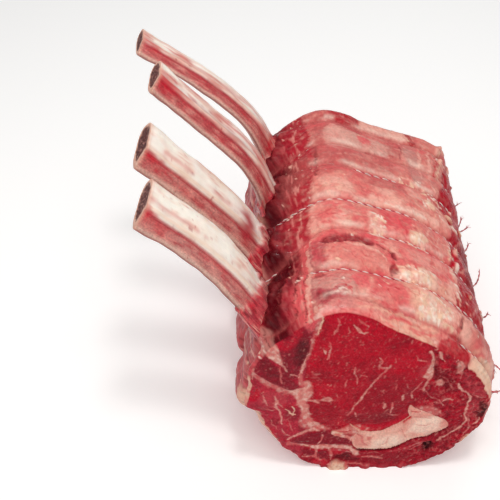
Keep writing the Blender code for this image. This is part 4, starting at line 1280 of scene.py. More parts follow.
class MaterialSheet(NodeSheet):
    """A material's node tree."""

    def __init__(self, name: str) -> None:
        """Starts a material that holds only its shader and output."""
        self.material = bpy.data.materials.new(name)
        self.material.use_nodes = True
        super().__init__(self.material.node_tree)
        self.shader = self.tree.nodes["Principled BSDF"]
        self.place = self.add("ShaderNodeTexCoord").outputs["Object"]

    def attribute(self, name: str, output: str = "Fac") -> Socket:
        """Reads a mesh attribute as a number, or as its Color or Vector."""
        return self.add("ShaderNodeAttribute", attribute_name=name).outputs[output]

    def noise(
        self, size: float, detail: float = 3.0, rough: float = 0.55, over: Optional[Socket] = None
    ) -> Socket:
        """Noise whose lumps are about size wide, over the object's metres or another vector."""
        node = self.add("ShaderNodeTexNoise")
        feed(node, over or self.place, Scale=1.0 / size, Detail=detail, Roughness=rough)
        return node.outputs["Fac"]

    def turned(self, turn: Place, size: Place) -> Socket:
        """The object's places, turned by degrees and then divided by a size for each axis."""
        node = self.add("ShaderNodeMapping", vector_type="TEXTURE")
        turn = [math.radians(angle) for angle in turn]
        return feed(node, self.place, Rotation=turn, Scale=size).outputs["Vector"]

    def blend(self, value: Socket, other: Socket, share: Socket) -> Socket:
        """A number with a share of another in it."""
        return feed(self.add("ShaderNodeMix", data_type="FLOAT"), share, None, value, other).outputs[0]

    def mixed(self, colour: Socket | Place, other: Place, share: Socket) -> Socket:
        """A colour with a share of another in it."""
        node = feed(self.add("ShaderNodeMix", data_type="RGBA"), share)
        colours = [value if isinstance(value, Socket) else (*value, 1.0) for value in (colour, other)]
        return feed(node, *[None] * 6, *colours).outputs[2]

    def span(self, value: Socket, low: float, high: float, to_low: float, to_high: float) -> Socket:
        """Maps a range of values to another."""
        return feed(self.add("ShaderNodeMapRange"), value, low, high, to_low, to_high).outputs["Result"]

    def bump(self, height: Socket, depth: float, below: Optional[Socket] = None) -> Socket:
        """Bumps of a depth in metres, over another bump if one is given."""
        node = self.add("ShaderNodeBump")
        return feed(node, Strength=1.0, Distance=depth, Height=height, Normal=below).outputs["Normal"]


@dataclass(frozen=True)
class FleshFinish:
    """Moist raw meat and fat. Colour, fattiness and wetness come from the surface's own attributes."""

    name: str
    dry: float = 0.56
    glossy: float = 0.24
    coat: float = 0.05
    subsurface: float = 0.0
    bundle: float = 1.15  # width of a bundle of fibres in millimetres
    grain_lean: float = -20.0  # degrees from the upright that the cut fibres lean
    contrast: float = 0.2
    depth: float = 0.0003
    lobule: float = 0.0
    pale: Place = (0.60, 0.16, 0.16)
    between_lobules: Place = (0.72, 0.26, 0.22)

    def material(self) -> bpy.types.Material:
        """Builds the material."""
        sheet = MaterialSheet(self.name)
        fat, wet = sheet.attribute("fat"), sheet.attribute("wet")
        strands = sheet.noise(self.bundle, 3.0, 0.6, sheet.attribute("fibre", "Vector"))
        across = sheet.turned((0.0, self.grain_lean, 0.0), (1.1 * MM, MM, 1.7 * MM))
        cut_ends = sheet.noise(self.bundle, 3.0, 0.6, across)
        cover = sheet.noise(0.0024, 3.0, 0.5)
        grain = sheet.blend(cover, strands, sheet.attribute("stranded"))
        grain = sheet.blend(grain, cut_ends, sheet.attribute("sliced"))
        swing = sheet.span(grain, 0.3, 0.7, -1.0, 1.0)
        calm = sheet.span(fat, 0.0, 1.0, self.contrast, self.contrast * 0.5)
        broad = sheet.span(sheet.noise(0.0055, 2.0), 0.3, 0.7, 0.96, 1.05)
        factor = sheet.maths("ADD", sheet.times(swing, calm), broad)
        colour = sheet.scaled(sheet.attribute("tone", "Color"), factor)
        pale = sheet.times(sheet.span(grain, 0.56, 0.74, 0.0, 0.13), sheet.span(fat, 0.0, 0.6, 1.0, 0.4))
        colour = sheet.mixed(colour, self.pale, pale)
        if self.lobule:
            lobes = sheet.maths("ABSOLUTE", sheet.maths("SUBTRACT", sheet.noise(self.lobule, 2.0, 0.5), 0.5))
            colour = sheet.mixed(colour, self.between_lobules, sheet.span(lobes, 0.0, 0.022, 0.4, 0.0))
        gloss = sheet.maths("ADD", wet, sheet.span(sheet.noise(0.0035), 0.35, 0.65, -0.35, 0.3), clamp=True)
        folds = sheet.bump(sheet.noise(0.0032, 2.0), self.depth * 1.3)
        deep = sheet.times(swing, sheet.span(fat, 0.0, 1.0, 0.5, 0.2))
        feed(
            sheet.shader,
            Base_Color=colour,
            Roughness=sheet.span(gloss, 0.0, 1.0, self.dry, self.glossy),
            Normal=sheet.bump(deep, self.depth, folds),
            Subsurface_Weight=self.subsurface,
            Subsurface_Radius=(1.0, 0.32, 0.22),
            Subsurface_Scale=0.0014,
            Specular_IOR_Level=0.07,
            Coat_Weight=self.coat,
            Coat_Roughness=0.08,
        )
        return sheet.material


@dataclass(frozen=True)
class BoneFinish:
    """Scraped raw bone: fine lengthwise scratches and pores, slightly greasy."""

    name: str
    roughness: float = 0.4
    pale: Place = (0.72, 0.44, 0.34)

    def material(self) -> bpy.types.Material:
        """Builds the material."""
        sheet = MaterialSheet(self.name)
        band, wet = sheet.attribute("band"), sheet.attribute("wet")
        scratches = sheet.noise(0.55, 3.0, 0.65, sheet.attribute("fibre", "Vector"))
        clouds = sheet.noise(0.006, 4.0)
        streaks = sheet.span(scratches, 0.3, 0.7, -1.0, 1.0)
        strength = sheet.span(band, 0.0, 1.0, 0.045, 0.13)
        speckle = sheet.times(sheet.span(sheet.noise(0.0014), 0.3, 0.7, -0.22, 0.22), band)
        uneven = sheet.maths("ADD", speckle, sheet.span(clouds, 0.3, 0.7, 0.95, 1.04))
        factor = sheet.maths("ADD", sheet.times(streaks, strength), uneven)
        colour = sheet.scaled(sheet.attribute("tone", "Color"), factor)
        pale = sheet.times(sheet.span(scratches, 0.56, 0.72, 0.0, 0.2), band)
        depth = sheet.times(scratches, sheet.span(band, 0.0, 1.0, 0.35, 0.6))
        feed(
            sheet.shader,
            Base_Color=sheet.mixed(colour, self.pale, pale),
            Roughness=sheet.span(wet, 0.0, 1.0, self.roughness + 0.2, self.roughness - 0.14),
            Normal=sheet.bump(depth, 0.0005, sheet.bump(clouds, 0.0004)),
            Subsurface_Weight=0.12,
            Subsurface_Radius=(1.0, 0.5, 0.35),
            Subsurface_Scale=0.0016,
            Specular_IOR_Level=0.4,
            Coat_Weight=0.1,
            Coat_Roughness=0.15,
        )
        return sheet.material


@dataclass(frozen=True)
class TwineFinish:
    """Two-ply cotton, one ply white and one dyed red, stained by the meat."""

    name: str
    white: Place = (0.86, 0.70, 0.64)
    red: Place = (0.62, 0.04, 0.08)

    def material(self) -> bpy.types.Material:
        """Builds the material."""
        sheet = MaterialSheet(self.name)
        stripes = sheet.mixed(self.white, self.red, sheet.attribute("ply"))
        stain = sheet.span(sheet.noise(0.004), 0.35, 0.65, 0.72, 1.05)
        feed(
            sheet.shader,
            Base_Color=sheet.scaled(stripes, stain),
            Normal=sheet.bump(sheet.noise(0.00025, 3.0), 0.00012),
            Roughness=0.85,
            Sheen_Weight=0.25,
            Sheen_Roughness=0.5,
        )
        return sheet.material


def placed(name: str, data: bpy.types.ID) -> bpy.types.Object:
    """A new object in the scene that shows a mesh, a curve, a lamp or a camera."""
    thing = bpy.data.objects.new(name, data)
    bpy.context.scene.collection.objects.link(thing)
    return thing


def finished(name: str, mesh: bpy.types.Mesh, material: bpy.types.Material, node: str) -> None:
    """Makes a mesh a piece of the roast.

    Args:
        name: the piece's name.
        mesh: its mesh, in place.
        material: its finish.
        node: the node it stands for.
    """
    piece = placed(name, mesh)
    mesh.materials.clear()
    mesh.materials.append(material)
    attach(piece, BODY)
    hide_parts(node)
    log.info("%s: %d faces", name, len(mesh.polygons))


def mesh_of(name: str, places: Array, faces: list, looks: Looks, hidden: int = 0) -> bpy.types.Mesh:
    """A closed smooth mesh with its faces turned outwards.

    Args:
        name: its name.
        places: rows of metres.
        faces: vertex numbers of each face.
        looks: values to keep at its vertices; fibre is a direction, and other rows of three are colours.
        hidden: how many of the last faces are hidden walls, which meet the others at a hard edge.

    Returns:
        The mesh.
    """
    mesh = bpy.data.meshes.new(name)
    mesh.from_pydata(places.tolist(), [], faces)
    for key, values in looks.items():
        kind, part = "FLOAT", "value"
        if key == "fibre":
            kind, part = "FLOAT_VECTOR", "vector"
        elif values.ndim == 2:
            kind, part = "FLOAT_COLOR", "color"
            values = np.column_stack([values, np.ones(len(values))])
        layer = mesh.attributes.new(key, kind, "POINT")
        layer.data.foreach_set(part, values.astype(np.float32).ravel())
    bm = bmesh.new()
    bm.from_mesh(mesh)
    bmesh.ops.recalc_face_normals(bm, faces=bm.faces)
    bm.faces.ensure_lookup_table()
    first = len(bm.faces) - hidden
    for face in bm.faces:
        face.smooth = True
    for face in bm.faces[first:]:
        for edge in face.edges:
            if any(other.index < first for other in edge.link_faces):
                edge.smooth = False
    bm.to_mesh(mesh)
    bm.free()
    return mesh


# ---------------------------------------------------------------- the roll of meat
@dataclass
class Roll:
    """The four solids of the roll, cut from one surface so that they meet along their seams."""

    layout: Layout
    shape: RollShape
    finishes: dict[Region, bpy.types.Material]
    column_step: float = 1.1
    ring_step: float = 1.7
    beside_tie: Place = (0.55, 1.1, 1.7, 2.5, 3.6)
    cap_steps: Place = (0.72, 1.25)  # how close the points of the front face and the back face stand
    low: float = -2.0  # the section's box with a margin: its low corner, its height and its width
    high: float = 175.0
    wide: float = 192.0
    # how far each ring of the rounded rim stands behind the face, and how deep under the skin
    rim_offsets: Line = ((0.0, 2.0), (0.35, 1.15), (0.9, 0.5), (1.7, 0.12))
    jitter: float = 0.34  # how far a point may be off its place in the grid, as a share of the step
    seam_gap: float = 0.62  # how near a point may come to a seam, as a share of the step
    fat_gap: float = 0.42  # how near the points beside the seam fat may come to another seam
    hub: int = 8  # seam points from the outline to where a hidden wall's corner stands
    rests_below: float = 0.12  # a column whose foot is this low lies flat on the board
    neck_height: float = 9.0
    foot_height: float = 4.2
    rib_half: float = 18.5

    def __post_init__(self) -> None:
        """Starts the seams and the noise."""
        self.seams = MuscleSeams()
        self.grain = Grain(41)
        self.lines: dict[str, list[int]] = {}

    def build(self) -> None:
        """Makes the four solids."""
        self._columns()
        self._seam_lines()
        ends = [self._cap(step, seed) for seed, step in enumerate(self.cap_steps, start=3)]
        places, looks, walls, parts = self._assemble(ends)
        for region, hidden, shown in zip(Region, walls, parts):
            faces = shown + hidden
            used = np.unique(np.concatenate([np.asarray(face) for face in faces]))
            number = np.full(len(places), -1)
            number[used] = np.arange(len(used))
            faces = [[int(number[v]) for v in face] for face in faces]
            own = {key: values[used] for key, values in looks.items()}
            mesh = mesh_of(region.value, self.layout.metres(places[used]), faces, own, len(hidden))
            name = "seam_fat_wedge" if region is Region.FAT else f"{region.value}_flesh"
            finished(name, mesh, self.finishes[region], region.value)

    def _columns(self) -> None:
        """Spaces the columns of the skin round the outline, with one at each open end of a seam."""
        seams = self.seams
        open_ends = (seams.eye_left[0], seams.eye_right[-1], seams.divider[-1])
        ends = dict(zip(("eye_left", "eye_right", "divider"), open_ends))
        stops = np.sort(self.shape.run_at(np.array(list(ends.values()), float)))
        runs = []
        for low, high in zip(stops, np.append(stops[1:], stops[0] + self.shape.round)):
            count = max(2, round((high - low) / self.column_step))
            runs.append(low + (high - low) * np.arange(count) / count)
        self.run = np.concatenate(runs)
        self.outline = self.shape.outline(self.run)
        self.end_column = {
            name: int(np.argmin(np.linalg.norm(self.outline - end, axis=1))) for name, end in ends.items()
        }

    def _numbered(self, places: Array) -> list[int]:
        """Adds section points and returns their numbers."""
        first = len(self.points)
        self.points += map(tuple, places)
        return list(range(first, len(self.points)))

    def _seam_lines(self) -> None:
        """Numbers the seam points after the outline's; the inside's come after them."""
        self.points = list(map(tuple, self.outline))
        (junction,) = self._numbered([self.seams.divider[0]])
        for name, column in self.end_column.items():
            own = self._numbered(smooth_line(getattr(self.seams, name), step=1.0)[1:-1])
            self.lines[name] = [column, *own, junction] if name == "eye_left" else [junction, *own, column]
        loop = smooth_line(self.seams.fat_loop, closed=True, step=0.6)
        way = np.roll(loop, -1, axis=0) - np.roll(loop, 1, axis=0)
        out = np.stack([way[:, 1], -way[:, 0]], axis=1) / np.linalg.norm(way, axis=1)[:, None]
        self.beside_fat = np.vstack([loop + out * 0.5, loop - out * 0.5])
        own = self._numbered(loop)
        self.lines["fat_loop"] = [*own, own[0]]
        count = len(self.run)
        self.edges = [(k, (k + 1) % count) for k in range(count)]
        for line in self.lines.values():
            self.edges += zip(line[:-1], line[1:])
        self.loops = self._loops()

    def _loops(self) -> dict[Region, Array]:
        """Closed outlines of the eye, the rib side and the seam fat in the section."""
        points = np.array(self.points)
        left, right, divider = (points[self.lines[name]] for name in self.end_column)
        a, b, c = self.end_column.values()
        count = len(self.run)

        def arc(start: int, end: int) -> Array:
            """The outline from one column to another."""
            return self.outline[(start + np.arange((end - start) % count + 1)) % count]

        eye = np.vstack([left, right[1:], arc(b, a)[1:-1]])
        side = np.vstack([left, divider[1:], arc(a, c)[::-1][1:-1]])
        return {Region.EYE: eye, Region.RIB_SIDE: side, Region.FAT: points[self.lines["fat_loop"][:-1]]}

    def _region_at(self, places: Array) -> Array:
        """The region of each section place, as an index into the list of regions.

        Args:
            places: rows of section places.

        Returns:
            One index for each.
        """
        order = list(Region)
        region = np.full(len(places), order.index(Region.CAP))
        for kind, loop in self.loops.items():
            region[within(loop, places)] = order.index(kind)
        return region

    def _apart(self, places: Array, others: Array, gap: float) -> Array:
        """Which places stand at least a gap away from all others.

        Args:
            places: rows of places.
            others: what to keep away from.
            gap: how far.

        Returns:
            True or false for each place.
        """
        free = np.ones(len(places), bool)
        for first in range(0, len(places), 4000):
            part = places[first : first + 4000]
            gaps = np.linalg.norm(part[:, None] - others[None], axis=2)
            free[first : first + 4000] = np.min(gaps, axis=1) >= gap
        return free

    def _cap(self, step: float, seed: int) -> End:
        """Triangulates the section.

        Args:
            step: how far apart the inside points are.
            seed: for their jitter.

        Returns:
            Section places, triangles, and each triangle's region.
        """
        draw = np.random.default_rng(seed)
        rows = np.arange(self.low, self.high, step * math.sqrt(3) / 2)
        across = np.arange(self.low, self.wide, step)
        grid = np.array([(x + (k % 2) * step / 2, z) for k, z in enumerate(rows) for x in across])
        grid += (draw.random(grid.shape) - 0.5) * step * self.jitter
        fixed = np.array(self.points)
        grid = grid[within(self.outline, grid)]
        beside = self.beside_fat[self._apart(self.beside_fat, fixed, self.fat_gap)]
        grid = grid[self._apart(grid, np.vstack([fixed, beside]), step * self.seam_gap)]
        everything = [Vector(p) for p in [*self.points, *beside, *grid]]
        found, _, triangles, origins, _, _ = delaunay_2d_cdt(everything, self.edges, [], 1, 1e-6)
        back = np.array([min(own) if own else -1 for own in origins])
        if np.any(back < 0) or len(found) != len(everything):
            raise ValueError("the seams cross each other or the outline")
        order = np.argsort(back)
        places = np.array([tuple(p) for p in found])[order]
        faces = np.argsort(order)[np.array([list(t) for t in triangles])]
        return places, faces, self._region_at(places[faces].mean(axis=1))

    def _vertex_region(self, count: int, faces: Array, region: Array) -> Array:
        """A region for each vertex, from a triangle that uses it; seam fat wins where regions meet.

        Args:
            count: how many vertices.
            faces: the triangles.
            region: the region of each triangle.

        Returns:
            One index into the list of regions for each vertex.
        """
        own = np.zeros(count, int)
        for index in (1, 2, 0, 3):
            own[faces[region == index].ravel()] = index
        return own

    def _onto_end(self, places: Array, ring: Array) -> Array:
        """Stretches section places so that the outline's follow a ring of the skin.

        Args:
            places: section places, the outline's first.
            ring: where the outline's have to go.

        Returns:
            The stretched places.
        """
        middle = self.shape.middle
        offset = places - middle
        angle = np.arctan2(offset[:, 1], offset[:, 0])
        ring_angle = np.arctan2(self.outline[:, 1] - middle[1], self.outline[:, 0] - middle[0])
        order = np.argsort(ring_angle)
        stretch = np.linalg.norm(ring - middle, axis=1) / np.linalg.norm(self.outline - middle, axis=1)
        turn = np.arctan2(ring[:, 1] - middle[1], ring[:, 0] - middle[0]) - ring_angle
        turn = (turn + np.pi) % (2 * np.pi) - np.pi
        a = np.concatenate([ring_angle[order] - 2 * np.pi, ring_angle[order], ring_angle[order] + 2 * np.pi])
        scale = np.interp(angle, a, np.tile(stretch[order], 3))
        spin = np.interp(angle, a, np.tile(turn[order], 3))
        reach = np.linalg.norm(offset, axis=1)
        edge = np.interp(angle, a, np.tile(np.linalg.norm(self.outline - middle, axis=1)[order], 3))
        share = ramp(0.35, 1.0, reach / edge)
        reach = reach * (1.0 + (scale - 1.0) * share)
        angle = angle + spin * share
        return middle + np.stack([np.cos(angle), np.sin(angle)], axis=1) * reach[:, None]

    def _skin_grid(self) -> tuple[Array, Array, Array]:
        """Places of the skin in rings from front to back, with the run and y of each."""
        z = self.outline[:, 1]
        front, back = self.shape.face_y(z), self.shape.back_y(z)
        rim, beside = self.rim_offsets, self.beside_tie
        rings = [front + offset for offset, _ in rim]
        stops = [front + rim[-1][0]]
        stops += [self.shape.tie_y(tie, self.run) for tie in range(len(self.shape.tie_on_top))]
        stops += [back - rim[-1][0]]
        for number, (low, high) in enumerate(zip(stops[:-1], stops[1:])):
            after = beside if number else ()
            before = beside if number < len(stops) - 2 else ()
            start = low + (after[-1] if after else 0.0)
            end = high - (before[-1] if before else 0.0)
            steps = max(2, round(float(np.max(end - start)) / self.ring_step))
            rings += [low + offset for offset in after]
            rings += [start + (end - start) * k / steps for k in range(1, steps)]
            rings += [high - offset for offset in before[::-1]]
            rings += [high] if before else []
        rings += [back - offset for offset, _ in rim[::-1]]
        y = np.array(rings)
        depth = np.zeros((len(y), 1))
        depth[: len(rim), 0] = [under for _, under in rim]
        depth[-len(rim) :] = depth[: len(rim)][::-1]
        run = np.repeat(self.run[None], len(y), axis=0)
        relief = self.shape.relief(run.ravel(), y.ravel()).reshape(y.shape)
        from_front, from_back = y - front, back - y
        relief = relief * (0.15 + 0.85 * ramp(0.0, 9.0, np.minimum(from_front, from_back)))
        relief = relief - depth + self._ragged_edge(from_front, from_back) + self._necks(y)
        return relief, run, y

    def _ragged_edge(self, from_front: Array, from_back: Array) -> Array:
        """The uneven trim of the rims, rough below and on the right, clean over the eye.

        Args:
            from_front: distances behind the cut face.
            from_back: distances before the back face.

        Returns:
            How far the skin stands out there.
        """
        aside = self.shape.aside(self.run)
        places = spread(self.outline)
        rough = np.clip(ramp(86.0, 120.0, aside) + 1.0 - ramp(-60.0, -30.0, aside), 0.0, 1.0)
        steps = 1.5 * self.grain.layered(places + 20.0, 8.0, 2) + 0.6 * self.grain.at(places + 60.0, 2.6)
        amount = steps * (0.25 + 0.75 * rough) - 0.5 * rough
        near = bell(from_front, 4.0) + bell(from_back, 5.0)
        z = self.outline[:, 1]
        flap = 7.5 * ramp(66.0, 73.0, z) * (1.0 - ramp(76.0, 99.0, z)) * (self.outline[:, 0] < 30.0)
        flap += 5.0 * bell(z - 106.0, 13.0) * (self.outline[:, 0] < 30.0)
        return amount[None] * near + flap[None] * (1.0 - ramp(2.0, 9.0, from_front))

    def _necks(self, y: Array) -> Array:
        """Flesh that climbs the inner side of each bone out of the valley, and covers its foot below.

        Args:
            y: places along the roll, ring by ring.

        Returns:
            How far the skin stands out there.
        """
        aside = self.shape.aside(self.run)
        height = np.zeros(y.shape)
        ridge = np.zeros(y.shape)
        for plan in RIBS:
            beyond = np.abs(y - plan.y) - self.rib_half
            ridge += 1.0 - ramp(-3.0, 9.0, beyond)
            height += (1.0 - ramp(-4.0, 7.0, beyond)) * bell(aside + 50.0, 15.0)[None]
        noise = self.grain.layered(spread(np.tile(aside, len(y)), y.ravel()), (7.0, 10.0, 1.0), 2)
        uneven = 1.0 + 0.35 * noise.reshape(y.shape)
        x, z = self.outline.T
        foot = (ramp(40.0, 54.0, z) * (1.0 - ramp(84.0, 112.0, z)) * (x < 40.0))[None]
        return self.neck_height * height * uneven + self.foot_height * foot * ridge

    def _assemble(self, ends: list[End]) -> tuple[Array, Looks, list, list]:
        """Puts the two ends, the skin and the hidden walls together.

        Args:
            ends: places, triangles and regions of the front end and of the back end.

        Returns:
            All places, what each looks like, and for each region its wall faces and its shown faces.
        """
        relief, run, y = self._skin_grid()
        rings, count = y.shape
        flat = (run.ravel(), y.ravel())
        skin = OuterSkin(self.shape, Grain(7)).paint(*flat, self.shape.swollen(*flat))
        lift = relief + skin.rise.reshape(y.shape) * ramp(0.0, 8.0, np.minimum(y - y[0], y[-1] - y))
        solid = self.shape.swollen(*flat, lift.ravel()).reshape(rings, count, 3)
        rests = self.outline[:, 1] < self.rests_below
        solid[..., 2] = np.where(rests, 0.0, np.maximum(solid[..., 2], 0.25))
        paints, solids = [], []
        for side, face, end in zip((0, -1), (CutFace(17, 0.0), CutFace(23, 7.0)), ends):
            paint, places = self._end(face, end, solid[side][:, [0, 2]], side)
            paint.fibre[:count] = skin.fibre.reshape(rings, count, 3)[side]
            paints.append(paint)
            solids.append(places)

        first = len(solids[0])
        inner = np.arange((rings - 2) * count).reshape(-1, count)
        back_start = first + inner.size
        number = np.vstack([np.arange(count), first + inner, back_start + np.arange(count)])
        places = np.vstack([solids[0], solid[1:-1].reshape(-1, 3), solids[1]])
        looks = {}
        for key in ("colour", "wet", "fat", "fibre", "stranded", "sliced"):
            front, between, back = (getattr(paint, key) for paint in (paints[0], skin, paints[1]))
            looks["tone" if key == "colour" else key] = np.concatenate([front, between[count:-count], back])

        shown: list[list] = [[] for _ in Region]
        for start, (_, faces, region) in zip((0, back_start), ends):
            for index, own in enumerate(shown):
                own += (faces[region == index] + start).tolist()
        middles = (self.outline + np.roll(self.outline, -1, axis=0)) / 2
        column_region = self._region_at(self.shape.middle + (middles - self.shape.middle) * 0.99)
        for column, index in enumerate(column_region):
            here, beyond = number[:, column], number[:, (column + 1) % count]
            shown[index] += np.stack([here[:-1], beyond[:-1], beyond[1:], here[1:]], axis=1).tolist()
        return places, looks, self._walls(number), shown

    def _end(self, face: CutFace, end: End, ring: Array, side: int) -> tuple[Paint, Array]:
        """Paints one end of the roll and gives it its relief.

        Args:
            face: what the cut looks like.
            end: its places, triangles and regions.
            ring: the skin's last ring, which the outline has to meet.
            side: 0 for the front end, -1 for the back one.

        Returns:
            Its paint and its places.
        """
        section, triangles, region = end
        paint = face.paint(section, self._vertex_region(len(section), triangles, region))
        rise = paint.rise + self._muscle_crown(section)
        flat = self._onto_end(section, ring)
        flat[:, 1] = np.maximum(flat[:, 1], 0.0)
        x, z = flat.T
        y = self.shape.back_y(z) + rise if side else self.shape.face_y(z) - rise
        places = np.column_stack([x, y, z])
        places[: len(ring), [0, 2]] = ring
        return paint, places

    def _muscle_crown(self, places: Array) -> Array:
        """How far each muscle's middle stands out of the cut, once its edges have drawn back.

        Args:
            places: rows of section places.

        Returns:
            One height for each.
        """
        crown = np.zeros(len(places))
        for region, loop in self.loops.items():
            inside = within(loop, places)
            gap, _ = nearest_on(looped(loop)[::3], places[inside])
            height = 1.6 if region is Region.EYE else 0.7
            crown[inside] = height * ramp(0.0, 16.0, gap) + 0.5 * ramp(0.0, 2.5, gap)
        rest = crown == 0.0
        beside = [looped(self.loops[region])[::3] for region in (Region.EYE, Region.RIB_SIDE)]
        gap = np.minimum(*(nearest_on(line, places[rest])[0] for line in beside))
        crown[rest] = 0.5 * ramp(0.0, 2.5, gap)
        return crown

    def _walls(self, number: Array) -> list[list]:
        """Hidden walls along the seams, from the front cut to the back one.

        Args:
            number: vertex numbers of the skin, ring by ring.

        Returns:
            For each region, its wall faces.
        """
        walls: dict[Region, list] = {region: [] for region in Region}
        sides = {
            "eye_left": (Region.EYE, Region.RIB_SIDE),
            "eye_right": (Region.EYE, Region.CAP),
            "divider": (Region.RIB_SIDE, Region.CAP),
            "fat_loop": (Region.FAT, Region.CAP),
        }
        back_start = int(number[-1, 0])
        for name, line in self.lines.items():
            column = self.end_column.get(name)
            faces = []
            if column is not None:
                line = line[::-1] if line[0] == column else line
                tail = line[-self.hub :]
                line = line[: -self.hub + 1]
                faces.append([*tail, *number[1:-1, column].tolist(), *(back_start + v for v in tail[::-1])])
            faces += [[a, b, back_start + b, back_start + a] for a, b in zip(line[:-1], line[1:])]
            for region in sides[name]:
                walls[region] += faces
        return list(walls.values())


# ---------------------------------------------------------------- bones
@dataclass(frozen=True)
class RibPlan:
    """One rib's line from its sawn foot to its tip, in section places, and how it is turned."""

    node: str
    y: float
    free: tuple[tuple[float, float, float], ...]
    size: float
    twist: float
    redness: float
    bare_from: float
    stain: float = 0.0


RIBS = (
    RibPlan("rib_1", 46, ((11, 0, 128), (-3, 2, 160), (-31, 7, 197), (-77, 12, 236)),
            size=1.0, twist=21.0, redness=0.0, bare_from=0.475),
    RibPlan("rib_2", 106, ((12, 0, 132), (-2, 1, 164), (-31, 2, 200), (-81, 4, 249)),
            size=1.0, twist=18.0, redness=0.1, bare_from=0.44, stain=0.52),
    RibPlan("rib_3", 167, ((16, 1, 144), (9, 2, 172), (-7, 4, 199), (-34, 7, 226), (-76, 11, 266)),
            size=0.86, twist=6.0, redness=0.75, bare_from=0.4),
    RibPlan("rib_4", 226, ((17, 2, 146), (9, 4, 175), (-9, 6, 201), (-44, 10, 230), (-94, 14, 262)),
            size=0.78, twist=2.0, redness=0.55, bare_from=0.4),
)  # fmt: skip


@dataclass
class RibBone:
    """A frenched rib: a flat curved bone, scraped bare, with a sawn spongy end."""

    plan: RibPlan
    layout: Layout
    material: bpy.types.Material
    grain: Grain
    on_roll: Line = ((3.0, 60.0), (8.0, 82.0), (13.0, 104.0))
    width: float = 37.0
    thickness: float = 16.5
    stations: int = 170
    sides: int = 112
    sawn_rings: int = 22
    chamfer_from: float = -0.30  # across the width, where the front side slopes away from the broad side
    chamfer_depth: float = 1.35
    tip_slant: float = 6.0  # how far the saw cut runs back from the broad edge to the front one

    def _noise(self, flat: Array, shift: float, *size: float) -> Array:
        """Noise of this bone's own, stretched along it."""
        return self.grain.layered(flat + shift + self.plan.y, (*size, 1.0), 3)

    def build(self) -> None:
        """Makes the bone."""
        centre, wide, thick = self._line()
        share = np.linspace(0.0, 1.0, self.stations)
        size = 1.0 + (self.plan.size - 1.0) * ramp(0.3, 0.6, share)
        angle = 2 * np.pi * (np.arange(self.sides) + 0.5) / self.sides
        c, n = np.cos(angle), np.sin(angle)
        across = np.sign(c) * np.abs(c) ** 0.72
        through = np.sign(n) * np.abs(n) ** 0.78
        slope = np.clip((self.chamfer_from - across) / (1.0 + self.chamfer_from), 0.0, 1.0)
        cut = np.maximum(through, self.chamfer_depth * slope - 1.0)
        q = np.tile(across, (self.stations, 1))
        s = np.repeat(share[:, None], self.sides, axis=1)
        chamfer = ramp(0.26, 0.42, s)
        p = through[None] * (1.0 - chamfer) + cut[None] * chamfer
        half_wide = self.width / 2 * size[:, None] * (1.0 + 0.07 * ramp(0.86, 1.0, s))
        half_thick = self.thickness / 2 * size[:, None] * (1.0 + 0.10 * ramp(0.9, 1.0, s))
        body = (
            centre[:, None]
            + wide[:, None] * (q * half_wide)[..., None]
            + thick[:, None] * (p * half_thick)[..., None]
        )
        out = wide[:, None] * q[..., None] * 0.6 + thick[:, None] * p[..., None]
        out /= np.linalg.norm(out, axis=2)[..., None]
        flat = np.column_stack([s.ravel() * 190.0, np.tile(angle, self.stations) * 13.0, np.zeros(s.size)])
        lumps = 0.5 * self.grain.layered(body.reshape(-1, 3) + self.plan.y, 16.0, 2)
        scrapes = 0.16 * self.grain.layered(flat + self.plan.y, (26.0, 2.4, 1.0), 3)
        torn = self._noise(flat, 477.0, 9.0, 6.0)
        sleeve = self._sleeve(s.ravel(), torn)
        strands = 0.5 * self.grain.layered(flat + 577.0, (30.0, 3.0, 1.0), 3)
        lift = (lumps + scrapes + sleeve * (2.0 + strands)).reshape(s.shape) + self._section_relief(q, p, s)
        body = body + out * lift[..., None]
        way = np.cross(wide, thick)
        slant = self.tip_slant * self.plan.size * ramp(0.86, 1.0, share)[:, None] * (1.0 - q) / 2
        body -= way[:, None] * np.sign(way[-1] @ (centre[-1] - centre[0])) * slant[..., None]
        paint = self._paint(q, p, s, flat, sleeve)
        foot = self._end(body[0], paint, 0, -1.0)
        tip = self._end(body[-1], paint, self.stations - 1, 1.0)
        self._finish(body, paint, foot, tip)

    def _line(self) -> tuple[Array, Array, Array]:
        """Centres, width directions and thickness directions from foot to tip."""
        start = self.plan.y
        points = [(x, start, z) for x, z in self.on_roll] + [(x, start + y, z) for x, y, z in self.plan.free]
        dense = smooth_line(points, step=0.25)
        places = dense[np.round(np.linspace(0, len(dense) - 1, self.stations)).astype(int)]
        way = np.gradient(places, axis=0)
        way /= np.linalg.norm(way, axis=1)[:, None]
        thick = np.cross(way, [0.0, 1.0, 0.0])
        thick /= np.linalg.norm(thick, axis=1)[:, None]
        wide = np.cross(thick, way)
        turn = -np.radians(self.plan.twist) * ramp(0.25, 0.7, np.linspace(0.0, 1.0, self.stations))
        cos, sin = np.cos(turn)[:, None], np.sin(turn)[:, None]
        return places, wide * cos + np.cross(way, wide) * sin, thick * cos + np.cross(way, thick) * sin

    def _section_relief(self, q: Array, p: Array, s: Array) -> Array:
        """Ridges and a groove along the front side and the hollow of the broad side, on the bare part of the
        bone.

        Args:
            q: places across the width, from -1 to 1.
            p: places through the thickness.
            s: shares of the length.

        Returns:
            One height for each.
        """
        bare = ramp(0.3, 0.45, s)
        upper = 1.0 - ramp(-0.6, -0.2, p)
        edge = 0.75 * bell(q - self.chamfer_from - 0.02, 0.09) * upper
        groove = -0.8 * bell(q - self.chamfer_from + 0.16, 0.06) * (1.0 - ramp(0.0, 0.3, p))
        lower = 0.5 * bell(q + 0.93, 0.08)
        hollow = -0.5 * bell(q - 0.15, 0.3) * upper
        return (edge + groove + lower + hollow) * bare

